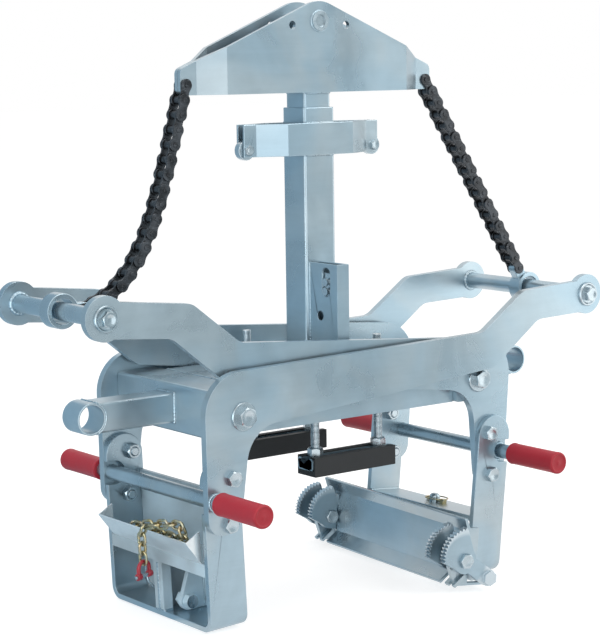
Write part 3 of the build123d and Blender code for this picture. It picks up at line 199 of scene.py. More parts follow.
ARM_A = arm_place(-1, 0.0)
ARM_B = arm_place(1, radians(3.3))
ARMS = (("arm_a", ARM_A, ARM_A_HALF), ("arm_b", ARM_B, ARM_B_HALF))
JAW_A = jaw_place(ARM_A)
JAW_B = jaw_place(ARM_B)
UNIT = place(
    at(JAW_B, KING_AT, -JAW_DOWN),
    JAW_B.col[0].xyz * cos(UNIT_YAW) + JAW_B.col[2].xyz * sin(UNIT_YAW),
    JAW_B.col[2].xyz * cos(UNIT_YAW) - JAW_B.col[0].xyz * sin(UNIT_YAW),
)
FRONT = place((0, 0, 0), (1, 0, 0), (0, -1, 0))
FLOOR = Matrix.Identity(4)


# Node wiring


def put(tree, made, key, value):
    """Give a node's input a plain value, or a link from a socket or from a node's first output."""
    if isinstance(value, bpy.types.Node):
        value = value.outputs[0]
    if isinstance(value, bpy.types.NodeSocket):
        tree.links.new(value, made.inputs[key])
    else:
        made.inputs[key].default_value = value


def wire(tree, kind, inputs=None, **settings):
    """Add a shader or geometry node, set its options and fill its inputs."""
    made = tree.nodes.new(kind)
    for name, value in settings.items():
        setattr(made, name, value)
    for key, value in (inputs or {}).items():
        put(tree, made, key, value)
    return made


def maths(tree, operation, *values):
    """Math node on sockets and plain numbers."""
    return wire(tree, "ShaderNodeMath", dict(enumerate(values)), operation=operation)


def object_spot(tree):
    """Place of a point on its own object."""
    return wire(tree, "ShaderNodeTexCoord").outputs["Object"]


def new_group(name, inputs, outputs):
    """Empty shader group with named numbers in and out: its tree, its inputs and its end."""
    tree = bpy.data.node_groups.new(name, "ShaderNodeTree")
    for label, default in inputs.items():
        socket = tree.interface.new_socket(name=label, in_out="INPUT", socket_type="NodeSocketFloat")
        socket.default_value = default
    for label in outputs:
        tree.interface.new_socket(name=label, in_out="OUTPUT", socket_type="NodeSocketFloat")
    return tree, tree.nodes.new("NodeGroupInput").outputs, tree.nodes.new("NodeGroupOutput")


def use_group(tree, name, inputs=None):
    """Outputs of a shared shader group, placed in a material with its own values."""
    return wire(tree, "ShaderNodeGroup", inputs, node_tree=bpy.data.node_groups[name]).outputs


def mill_group():
    """Cloudy and streaked look of plated rolled steel, with a fine grain."""
    tree, into, out = new_group(
        "plated_mill_marks",
        {"Cloud scale": 9.0, "Streak scale": 14.0, "Grain scale": 700.0},
        ("Cloud", "Streak", "Grain"),
    )
    spot = object_spot(tree)
    drawn = wire(tree, "ShaderNodeMapping", {"Vector": spot, "Scale": (0.7, 1.0, 6.0)})
    for label, where, values in (
        ("Cloud", spot, {"Detail": 4.0, "Roughness": 0.55, "Distortion": 0.6}),
        ("Streak", drawn, {"Detail": 6.0, "Roughness": 0.65, "Distortion": 0.3}),
        ("Grain", spot, {"Detail": 2.0}),
    ):
        inputs = {"Vector": where, "Scale": into[f"{label} scale"], **values}
        put(tree, out, label, wire(tree, "ShaderNodeTexNoise", inputs))


def tint_group():
    """Faint rainbow of a chromate film: a slow drift between a cool and a warm tint."""
    tree, into, out = new_group("chromate_tint", {"Scale": 5.0}, ("Warmth",))
    values = {"Detail": 2.0, "Roughness": 0.5, "Distortion": 1.2}
    inputs = {"Vector": object_spot(tree), "Scale": into["Scale"], **values}
    drift = wire(tree, "ShaderNodeTexNoise", inputs)
    ramp = wire(
        tree, "ShaderNodeMapRange", {"Value": drift, "From Min": 0.35, "From Max": 0.68},
        interpolation_type="SMOOTHSTEP",
    )
    put(tree, out, "Warmth", ramp)


def rubber_group():
    """Fine moulded grain with broad dusty patches."""
    tree, into, out = new_group(
        "moulded_grain", {"Grain scale": 900.0, "Patch scale": 22.0}, ("Grain", "Patch")
    )
    spot = object_spot(tree)
    grain = wire(
        tree, "ShaderNodeTexVoronoi", {"Vector": spot, "Scale": into["Grain scale"]}, feature="SMOOTH_F1"
    )
    patch = wire(
        tree, "ShaderNodeTexNoise",
        {"Vector": spot, "Scale": into["Patch scale"], "Detail": 5.0, "Roughness": 0.6},
    )
    put(tree, out, "Grain", grain)
    put(tree, out, "Patch", patch)


def new_material(name, metallic, **constants):
    """Material with a Principled shader; constants go straight on its sockets."""
    material = bpy.data.materials.new(name)
    material.use_nodes = True
    tree = material.node_tree
    shader = tree.nodes["Principled BSDF"]
    shader.inputs["Metallic"].default_value = metallic
    for label, value in constants.items():
        shader.inputs[label.replace("_", " ")].default_value = value
    finishes[name] = material
    return tree, shader


def blend_colours(tree, share, low, high):
    """Colour that goes from one to another with a share from 0 to 1."""
    inputs = {0: share}
    for key, value in ((6, low), (7, high)):
        inputs[key] = value if isinstance(value, bpy.types.NodeSocket) else (*value, 1.0)
    return wire(tree, "ShaderNodeMix", inputs, data_type="RGBA").outputs[2]


def spread(tree, value, low, high, start=0.3, end=0.7):
    """A noise value laid over a range."""
    inputs = {"Value": value, "From Min": start, "From Max": end, "To Min": low, "To Max": high}
    return wire(tree, "ShaderNodeMapRange", inputs).outputs[0]


def bump(tree, shader, height, distance):
    """Raise a shader's surface by a height value."""
    inputs = {"Height": height, "Distance": distance, "Strength": 1.0}
    put(tree, shader, "Normal", wire(tree, "ShaderNodeBump", inputs))


def shade(colour, by):
    """A colour made darker or lighter by a factor."""
    return tuple(min(1.0, part * by) for part in colour)


def plated(name, colour, metallic, rough, scales, contrast, warm, relief):
    """Plated steel with clouds, streaks, grain and a drifting chromate tint."""
    tree, shader = new_material(name, metallic)
    labels = ("Cloud scale", "Streak scale", "Grain scale")
    marks = use_group(tree, "plated_mill_marks", dict(zip(labels, scales)))
    tint = use_group(tree, "chromate_tint")
    share = wire(tree, "ShaderNodeMix", {0: 0.25, 2: marks["Cloud"], 3: marks["Streak"]})
    share = spread(tree, share, 0.0, 1.0, 0.36, 0.64)
    plain, warmed = [
        blend_colours(tree, share, shade(base, 1.0 - contrast), shade(base, 1.0 + contrast))
        for base in (colour, warm)
    ]
    put(tree, shader, "Base Color", blend_colours(tree, tint["Warmth"], plain, warmed))
    put(tree, shader, "Roughness", spread(tree, marks["Cloud"], *rough))
    bump(tree, shader, marks["Grain"], relief)
    return tree, shader


# Meshes


def new_object(name, data):
    """Object in the scene, at the origin."""
    made = bpy.data.objects.new(name, data)
    bpy.context.scene.collection.objects.link(made)
    return made


def settle(piece, body, slot, finish, *nodes):
    """Give a piece its finish, tie it to its body and hide the CAD nodes it stands for; the slot is not
    used.
    """
    piece.data.materials.clear()
    piece.data.materials.append(finishes[finish])
    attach(piece, body)
    if nodes:
        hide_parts(*nodes)


def to_mesh(name, shape, sharp=SHARP):
    """Smooth mesh from a bmesh, with edges over an angle kept sharp."""
    bmesh.ops.recalc_face_normals(shape, faces=shape.faces)
    mesh = bpy.data.meshes.new(name)
    shape.to_mesh(mesh)
    shape.free()
    mesh.polygons.foreach_set("use_smooth", [True] * len(mesh.polygons))
    mesh.set_sharp_from_angle(angle=radians(sharp))
    return mesh


def new_piece(name, shape, sharp, body, slot, finish, *nodes):
    """Piece from a bmesh that rides on a body and stands for its CAD nodes."""
    settle(new_object(name, to_mesh(name, shape, sharp)), body, slot, finish, *nodes)


def skin(shape, rings):
    """Faces between rings of corners, where a ring of one corner is a pole."""
    for low, top in zip(rings, rings[1:]):
        count = max(len(low), len(top))
        for i in range(count):
            j = (i + 1) % count
            corners = [low[i % len(low)], low[j % len(low)], top[j % len(top)], top[i % len(top)]]
            shape.faces.new(list(dict.fromkeys(corners)))


def turned(shape, profile, count, where=FLOOR):
    """Add a turned form to a bmesh: rings of radius and height round a place's z axis."""
    rings = []
    for radius, high in profile:
        if radius == 0:
            rings.append([shape.verts.new(where @ Vector((0, 0, high)))])
            continue
        ring = []
        for i in range(count):
            angle = 2 * pi * i / count
            ring.append(shape.verts.new(where @ Vector((radius * cos(angle), radius * sin(angle), high))))
        rings.append(ring)
    skin(shape, rings)


def in_metres(pairs):
    """Pairs of numbers in millimetres, as metres."""
    return [(first * MM, second * MM) for first, second in pairs]


def hex_form(shape, bore):
    """Hexagon of unit half width and height with turned corners, solid or with a bore."""
    steps = 36
    angles = [2 * pi * i / steps for i in range(steps)]
    widths = [1 / cos((angle + pi / 6) % (pi / 3) - pi / 6) for angle in angles]

    def ring(radii, heights):
        return [
            shape.verts.new((radius * cos(angle), radius * sin(angle), high))
            for angle, radius, high in zip(angles, radii, heights)
        ]

    def level(radius, high):
        return ring([radius] * steps, [high] * steps)

    foot = ring(widths, [0.0] * steps)
    shoulder = ring(widths, [0.955 - 0.85 * (width - 1) for width in widths])
    rings = [foot, shoulder, level(0.95, 1.0)]
    if bore:
        rings += [level(bore * 1.12, 1.0), level(bore, 0.9), level(bore, 0.0), foot]
        skin(shape, rings)
        return
    rings += [level(0.62, 1.0), level(0.5, 0.94)]
    skin(shape, rings)
    shape.faces.new(rings[-1])
    shape.faces.new(foot[::-1])


def link_outline():
    """Waisted side view of a chain link plate, its first pin at the origin, in metres."""
    end_r = 10.5
    waist_r = 24.0
    waist_up = ((end_r + waist_r) ** 2 - (PITCH / 2) ** 2) ** 0.5
    lean = atan2(waist_up, PITCH / 2)
    points = []
    for cx, cy, radius, start, end, count in (
        (0, 0, end_r, lean, 2 * pi - lean, 14),
        (PITCH / 2, -waist_up, waist_r, pi - lean, lean, 6),
        (PITCH, 0, end_r, lean - pi, pi - lean, 14),
        (PITCH / 2, waist_up, waist_r, -lean, lean - pi, 6),
    ):
        for i in range(count):
            angle = start + (end - start) * i / count
            points.append((cx + radius * cos(angle), cy + radius * sin(angle)))
    return in_metres(points)


def slab(shape, outline, low, high, edge):
    """Plate from an outline between two heights, with chamfered rims."""
    middle = Vector((sum(x for x, _ in outline), sum(y for _, y in outline))) / len(outline)
    rings = []
    for inset, z in ((edge, low), (0.0, low + edge), (0.0, high - edge), (edge, high)):
        ring = []
        for x, y in outline:
            spot = Vector((x, y))
            inwards = (middle - spot).normalized() * inset
            ring.append(shape.verts.new((*(spot + inwards), z)))
        rings.append(ring)
    skin(shape, rings)
    shape.faces.new(rings[0][::-1])
    shape.faces.new(rings[-1])


def link_plates(shape, low):
    """Pair of side plates of a chain link, from a distance off its middle."""
    thick = 3.6
    for side in SIDES:
        ends = sorted((side * low * MM, side * (low + thick) * MM))
        slab(shape, link_outline(), ends[0], ends[1], 0.0006)


def rod_form(shape, r, half, tip, ease, count):
    """Short rod with eased ends."""
    profile = [(0, -half), (tip, -half), (r, -half + ease), (r, half - ease), (tip, half), (0, half)]
    turned(shape, profile, count)


def pin_form(shape, half):
    """Chain pin with riveted ends."""
    r = 4.1 * MM
    rod_form(shape, r, half * MM, r * 0.72, 0.0008, 20)


def roller_form(shape):
    """Chain roller with eased ends."""
    r = 7.9 * MM
    rod_form(shape, r, 8.5 * MM, r - 0.0006, 0.0006, 28)


def add_hardware(name, make, *values):
    """Keep a small form in the store that the copies are taken from."""
    shape = bmesh.new()
    make(shape, *values)
    made = bpy.data.objects.new(name, to_mesh(name, shape))
    bpy.data.collections["clamp_hardware"].objects.link(made)
    hardware[name] = made


# Geometry Nodes


def new_tree(name, *inputs):
    """Geometry tree with named inputs, a finish and one output: the tree, its inputs and its end."""
    tree = bpy.data.node_groups.new(name, "GeometryNodeTree")
    tree.interface.new_socket(name="Geometry", in_out="OUTPUT", socket_type="NodeSocketGeometry")
    for label, kind, default in (("Geometry", "Geometry", None), *inputs, ("Finish", "Material", None)):
        socket = tree.interface.new_socket(name=label, in_out="INPUT", socket_type="NodeSocket" + kind)
        if default is not None:
            socket.default_value = default
    return tree, tree.nodes.new("NodeGroupInput").outputs, tree.nodes.new("NodeGroupOutput")


def end_tree(tree, into, out, geometry):
    """Close a tree: real copies, then their finish."""
    real = wire(tree, "GeometryNodeRealizeInstances", {0: geometry})
    finish = wire(tree, "GeometryNodeSetMaterial", {"Geometry": real, "Material": into["Finish"]})
    put(tree, out, "Geometry", finish)


def point_value(tree, label, kind):
    """Value that each point carries under a name."""
    return wire(tree, "GeometryNodeInputNamedAttribute", {"Name": label}, data_type=kind)


def copies_tree():
    """Copies of stored hardware on points, each picked, turned and stretched by the point's values."""
    tree, into, out = new_tree(
        "hardware_copies", ("Hardware", "Collection", None), ("Oversize", "Float", 1.0)
    )
    store = wire(
        tree, "GeometryNodeCollectionInfo",
        {"Collection": into["Hardware"], "Separate Children": True, "Reset Children": True},
    )
    stretch = point_value(tree, "stretch", "FLOAT_VECTOR")
    sized = wire(
        tree, "ShaderNodeVectorMath", {"Vector": stretch, "Scale": into["Oversize"]}, operation="SCALE"
    )
    placed = wire(
        tree, "GeometryNodeInstanceOnPoints",
        {
            "Points": into["Geometry"],
            "Instance": store,
            "Instance Index": point_value(tree, "kind", "INT"),
            "Rotation": point_value(tree, "turn", "QUATERNION"),
            "Scale": sized,
            "Pick Instance": True,
        },
    )
    end_tree(tree, into, out, placed)


def bead_tree():
    """Weld bead along edges: a round section whose size ripples along the run."""
    tree, into, out = new_tree(
        "weld_bead", ("Ripple step", "Float", 0.004), ("Ripple depth", "Float", 0.25), ("Seed", "Float", 0.0)
    )
    run = wire(tree, "GeometryNodeMeshToCurve", {0: into["Geometry"]})
    fine = wire(tree, "GeometryNodeResampleCurve", {"Curve": run, "Length": 0.001}, mode="LENGTH")
    along = wire(tree, "GeometryNodeSplineParameter").outputs["Length"]
    wave = maths(tree, "PINGPONG", maths(tree, "DIVIDE", along, into["Ripple step"]), 1.0)
    patchy = wire(
        tree, "ShaderNodeTexNoise", {"W": into["Seed"], "Scale": 160.0, "Detail": 1.0}, noise_dimensions="4D"
    )
    uneven = maths(tree, "ADD", wave, patchy)
    ripple = maths(tree, "MULTIPLY_ADD", uneven, into["Ripple depth"], 0.75)
    radius = maths(tree, "MULTIPLY", ripple, point_value(tree, "width", "FLOAT"))
    sized = wire(tree, "GeometryNodeSetCurveRadius", {"Curve": fine, "Radius": radius})
    section = wire(tree, "GeometryNodeCurvePrimitiveCircle", {"Resolution": 8, "Radius": 1.0})
    swept = wire(
        tree, "GeometryNodeCurveToMesh", {"Curve": sized, "Profile Curve": section, "Fill Caps": True}
    )
    if "Scale" in swept.inputs:
        put(tree, swept, "Scale", radius)
    end_tree(tree, into, out, swept)


def rod_tree():
    """Threaded rods on points: a core with a helical ridge."""
    tree, into, out = new_tree(
        "threaded_rod", ("Rod radius", "Float", 0.008), ("Length", "Float", 0.2), ("Pitch", "Float", 0.002)
    )
    ridge_r = maths(tree, "MULTIPLY", into["Pitch"], 0.42)
    core_r = maths(tree, "SUBTRACT", into["Rod radius"], ridge_r)
    helix = wire(
        tree, "GeometryNodeCurveSpiral",
        {
            "Rotations": maths(tree, "DIVIDE", into["Length"], into["Pitch"]),
            "Start Radius": core_r,
            "End Radius": core_r,
            "Height": into["Length"],
            "Resolution": 14,
        },
    )
    section = wire(tree, "GeometryNodeCurvePrimitiveCircle", {"Radius": ridge_r, "Resolution": 4})
    ridge = wire(
        tree, "GeometryNodeCurveToMesh", {"Curve": helix, "Profile Curve": section, "Fill Caps": True}
    )
    core = wire(
        tree, "GeometryNodeMeshCylinder", {"Radius": core_r, "Depth": into["Length"], "Vertices": 28}
    )
    lift = wire(tree, "ShaderNodeCombineXYZ", {"Z": maths(tree, "MULTIPLY", into["Length"], 0.5)})
    raised = wire(tree, "GeometryNodeTransform", {"Geometry": core, "Translation": lift})
    rod = wire(tree, "GeometryNodeJoinGeometry")
    put(tree, rod, 0, raised)
    put(tree, rod, 0, ridge)
    placed = wire(tree, "GeometryNodeInstanceOnPoints", {"Points": into["Geometry"], "Instance": rod})
    end_tree(tree, into, out, placed)


def grow(name, mesh, tree_name, values, body, slot, finish, *nodes):
    """Piece that a geometry tree makes from points or edges, kept as a plain mesh."""
    values = {**values, "Finish": finishes[finish]}
    piece = new_object(name, mesh)
    tree = bpy.data.node_groups[tree_name]
    modifier = piece.modifiers.new("grow", "NODES")
    modifier.node_group = tree
    for item in tree.interface.items_tree:
        if item.item_type == "SOCKET" and item.in_out == "INPUT" and item.name in values:
            modifier[item.identifier] = values[item.name]
    piece.update_tag()
    made = bpy.data.meshes.new_from_object(piece.evaluated_get(bpy.context.evaluated_depsgraph_get()))
    piece.modifiers.remove(modifier)
    piece.data = made
    if not made.polygons:
        raise RuntimeError(f"{name}: the tree {tree_name} made no faces")
    settle(piece, body, slot, finish, *nodes)
    return piece


def copies(name, body, slot, finish, spots, *nodes):
    """One piece of much hardware: each spot is a kind, a place and its stretch."""
    kinds = sorted(hardware)
    mesh = bpy.data.meshes.new(name)
    mesh.from_pydata([where.translation for _, where, _ in spots], [], [])
    for label, kind in (("kind", "INT"), ("turn", "QUATERNION"), ("stretch", "FLOAT_VECTOR")):
        mesh.attributes.new(label, kind, "POINT")
    mesh.attributes["kind"].data.foreach_set("value", [kinds.index(label) for label, _, _ in spots])
    turns = [part for _, where, _ in spots for part in where.to_quaternion()]
    mesh.attributes["turn"].data.foreach_set("value", turns)
    mesh.attributes["stretch"].data.foreach_set("vector", [part for _, _, size in spots for part in size])
    values = {"Hardware": bpy.data.collections["clamp_hardware"], "Oversize": 1.0}
    grow(name, mesh, "hardware_copies", values, body, slot, finish, *nodes)


def fasteners(name, body, spots, *nodes):
    """A body's bright bolts, nuts and washers of one kind, as one piece."""
    copies(name, body, "bright_fasteners", "bright_zinc", spots, *nodes)


def hexagon(label, where, across, height, turn=0.0):
    """Spot of a hex head or nut: across flats and height in millimetres."""
    size = (across / 2 * MM, across / 2 * MM, height * MM)
    return (label, where @ Matrix.Rotation(turn, 4, "Z"), size)


def disc(label, where, radius, height):
    """Spot of a washer, stud or shank: radius and height in millimetres."""
    return (label, where, (radius * MM, radius * MM, height * MM))


# Property groups


def colour_setting(name, description, default):
    """Colour of a finish."""
    return FloatVectorProperty(
        name=name, description=description, subtype="COLOR", default=default, min=0, max=1
    )


def length_setting(name, description, default, low):
    """Length in metres with a lowest value."""
    return FloatProperty(name=name, description=description, unit="LENGTH", default=default, min=low)


def power_setting(name, description, default):
    """Power of a lamp in watts."""
    return FloatProperty(name=name, description=description, unit="POWER", default=default, min=0)


class ClampFinishes(bpy.types.PropertyGroup):
    """Colours of the clamp's finishes"""

    zinc: colour_setting("Zinc", "Plated plates and tubes", (0.36, 0.465, 0.53))
    zinc_warm: colour_setting("Zinc tint", "Warm drift of the plating", (0.42, 0.49, 0.525))
    fastener: colour_setting("Fasteners", "Bolts, nuts and washers", (0.47, 0.53, 0.565))
    sheet: colour_setting("Bright sheet", "Chain tray", (0.78, 0.83, 0.85))
    # Painted light: a lighter, bluer and less metallic copy of the zinc that stands in for light in the left
    # jaw's shaded inside
    painted_light_zinc: colour_setting("Painted light zinc", "Inside of the left jaw", (0.62, 0.76, 0.84))
    chain: colour_setting("Oiled chain", "Roller chains", (0.05, 0.052, 0.056))
    gold: colour_setting("Yellow chromate", "Securing chain", (0.47, 0.38, 0.2))
    red_paint: colour_setting("Red paint", "Coupling link", (0.45, 0.012, 0.03))
    red_rubber: colour_setting("Red rubber", "Handle grips", (0.47, 0.018, 0.034))
    black_rubber: colour_setting("Black rubber", "Height stops", (0.012, 0.014, 0.016))


class ClampSizes(bpy.types.PropertyGroup):
    """Sizes of the clamp's fine detail"""

    edge_round: length_setting("Edge round", "Eased edges of plates and boxes", 0.0012, 0.0)
    ripple_step: length_setting("Weld ripple", "Length of one ripple of a weld bead", 0.003, 0.001)
    ripple_depth: FloatProperty(
        name="Ripple depth", description="Share of a bead's radius that ripples", subtype="FACTOR",
        default=0.13, min=0, max=1,
    )
    weld_seed: IntProperty(name="Weld seed", description="Fixed seed of the uneven welds", default=7)
    thread_pitch: length_setting("Thread pitch", "Pitch of the height stops' rods", 0.002, 0.001)
    rod_radius: length_setting("Rod radius", "Outer radius of the threaded rods", 0.008, 0.002)


class ClampStudio(bpy.types.PropertyGroup):
    """Light and lens of the studio"""

    ambient: FloatProperty(name="Ambient", description="Soft light from all round", default=0.55, min=0)
    key_power: power_setting("Key", "Large lamp at the front right", 70.0)
    fill_power: power_setting("Fill", "Cool lamp at the left", 12.0)
    low_power: power_setting("Low", "Small lamp into the left jaw", 3.0)
    top_power: power_setting("Top", "Lamp overhead", 40.0)
    lens: FloatProperty(
        name="Lens", description="Focal length in millimetres", subtype="UNSIGNED", default=110.43
    )


# Operators


class CLAMP_OT_stage(bpy.types.Operator):
    """Set the pale floor, the soft lamps and the camera"""

    bl_idname = "clamp.stage"
    bl_label = "Studio"

    # Upright cards: both ends on the floor, height and colour
    cards = (
        ("left_card", (-1.55, 0.1), (-0.05, 1.25), 1.6, SHADE_BLUE),
        ("fore_card", (-1.0, -1.6), (-0.02, -1.5), 1.5, (1.75, 1.85, 1.9)),
        ("front_card", (0.0, -1.5), (0.9, -0.83), 1.4, (0.6, 0.7, 0.75)),
        ("right_card", (0.92, -0.81), (1.8, -0.15), 1.4, (1.8, 1.85, 1.85)),
    )
    mat = ((-1.55, 0.1), (-0.9, -0.5), (0.3, 0.5), (-0.05, 1.25))

    def execute(self, context):
        studio = context.scene.clamp_studio
        context.scene.view_settings.view_transform = "Standard"
        self.make_world(context, studio)
        self.make_floor()
        for name, start, end, high, colour in self.cards:
            self.make_card(name, [(*start, 0.0), (*end, 0.0), (*end, high), (*start, high)], colour)
        self.make_card("left_mat", [(*corner, MAT_Z) for corner in self.mat], SHADE_BLUE)
        for name, spot, target, size, power, colour in (
            ("key_lamp", (1.9, -3.4, 2.9), CLAMP_MIDDLE, 2.4, studio.key_power, (1.0, 0.99, 0.97)),
            ("fill_lamp", (-3.6, -1.2, 1.6), CLAMP_MIDDLE, 2.0, studio.fill_power, (0.8, 0.92, 1.0)),
            ("low_lamp", (-1.3, -0.5, 0.3), LEFT_JAW_MIDDLE, 0.6, studio.low_power, (0.78, 0.93, 1.0)),
            ("top_lamp", (-0.3, 0.4, 3.6), CLAMP_MIDDLE, 2.6, studio.top_power, (1.0, 1.0, 1.0)),
        ):
            self.make_lamp(name, spot, target, size, power, colour)
        self.make_camera(context, studio)
        return {"FINISHED"}

    def seen(self, tree, *rays):
        """1 for camera rays and the named kinds, 0 for the light that falls on things."""
        path = wire(tree, "ShaderNodeLightPath").outputs
        share = path["Is Camera Ray"]
        for ray in rays:
            share = maths(tree, "MAXIMUM", share, path[ray])
        return share

    def make_world(self, context, studio):
        """White to the lens and in reflections, softer as a light."""
        world = bpy.data.worlds.new("studio_air")
        world.use_nodes = True
        context.scene.world = world
        tree = world.node_tree
        seen = self.seen(tree, "Is Glossy Ray", "Is Transmission Ray")
        strength = wire(
            tree, "ShaderNodeMapRange", {"Value": seen, "To Min": studio.ambient, "To Max": 1.0}
        )
        air = tree.nodes["Background"]
        put(tree, air, "Color", (1.0, 1.0, 1.0, 1.0))
        put(tree, air, "Strength", strength)

    def make_sheet(self, name, corners, finish):
        """Four-cornered sheet whose material has no shader yet, and the material's tree."""
        mesh = bpy.data.meshes.new(name)
        mesh.from_pydata(corners, [], [(0, 1, 2, 3)])
        material = bpy.data.materials.new(finish)
        material.use_nodes = True
        mesh.materials.append(material)
        tree = material.node_tree
        tree.nodes.remove(tree.nodes["Principled BSDF"])
        return new_object(name, mesh), tree

    def make_floor(self):
        """Wide pale floor that is white to the lens but keeps the shadow."""
        ring = ((-1, -1), (1, -1), (1, 1), (-1, 1))
        corners = [(x * FLOOR_REACH, y * FLOOR_REACH, FLOOR_Z) for x, y in ring]
        floor, tree = self.make_sheet("floor", corners, "pale_floor")
        strength = maths(tree, "MULTIPLY", self.seen(tree, "Is Glossy Ray"), 0.72)
        glow = wire(tree, "ShaderNodeEmission", {"Strength": strength})
        matt = wire(tree, "ShaderNodeBsdfDiffuse", {"Color": (0.52, 0.52, 0.52, 1.0)})
        both = wire(tree, "ShaderNodeAddShader", {0: glow, 1: matt})
        put(tree, tree.nodes["Material Output"], "Surface", both)

    def make_card(self, name, corners, colour):
        """Coloured card that only the plating's reflections see."""
        card, tree = self.make_sheet(name, corners, name)
        glow = wire(tree, "ShaderNodeEmission", {"Color": (*colour, 1.0), "Strength": 1.0})
        put(tree, tree.nodes["Material Output"], "Surface", glow)
        card.visible_camera = card.visible_diffuse = card.visible_shadow = False

    def make_lamp(self, name, spot, target, size, power, colour):
        """Soft square lamp that looks at a point."""
        data = bpy.data.lights.new(name, "AREA")
        data.size = size
        data.energy = power
        data.color = colour
        lamp = new_object(name, data)
        lamp.location = spot
        lamp.rotation_euler = (target - Vector(spot)).to_track_quat("-Z", "Y").to_euler()
        lamp.visible_camera = False

    def make_camera(self, context, studio):
        """Camera at the photograph's place, with its slight roll."""
        level = cos(CAMERA_RISE)
        right = Vector((cos(CAMERA_AZIMUTH), sin(CAMERA_AZIMUTH), 0.0))
        back = Vector((sin(CAMERA_AZIMUTH) * level, -cos(CAMERA_AZIMUTH) * level, sin(CAMERA_RISE)))
        up = back.cross(right)
        x = right * cos(CAMERA_ROLL) - up * sin(CAMERA_ROLL)
        y = right * sin(CAMERA_ROLL) + up * cos(CAMERA_ROLL)
        data = bpy.data.cameras.new("photo_camera")
        data.sensor_fit = "VERTICAL"
        data.sensor_height = 36.0
        data.lens = studio.lens
        camera = new_object("photo_camera", data)
        camera.matrix_world = Matrix((x, y, back)).transposed().to_4x4()
        camera.location = CAMERA_AT
        context.scene.camera = camera


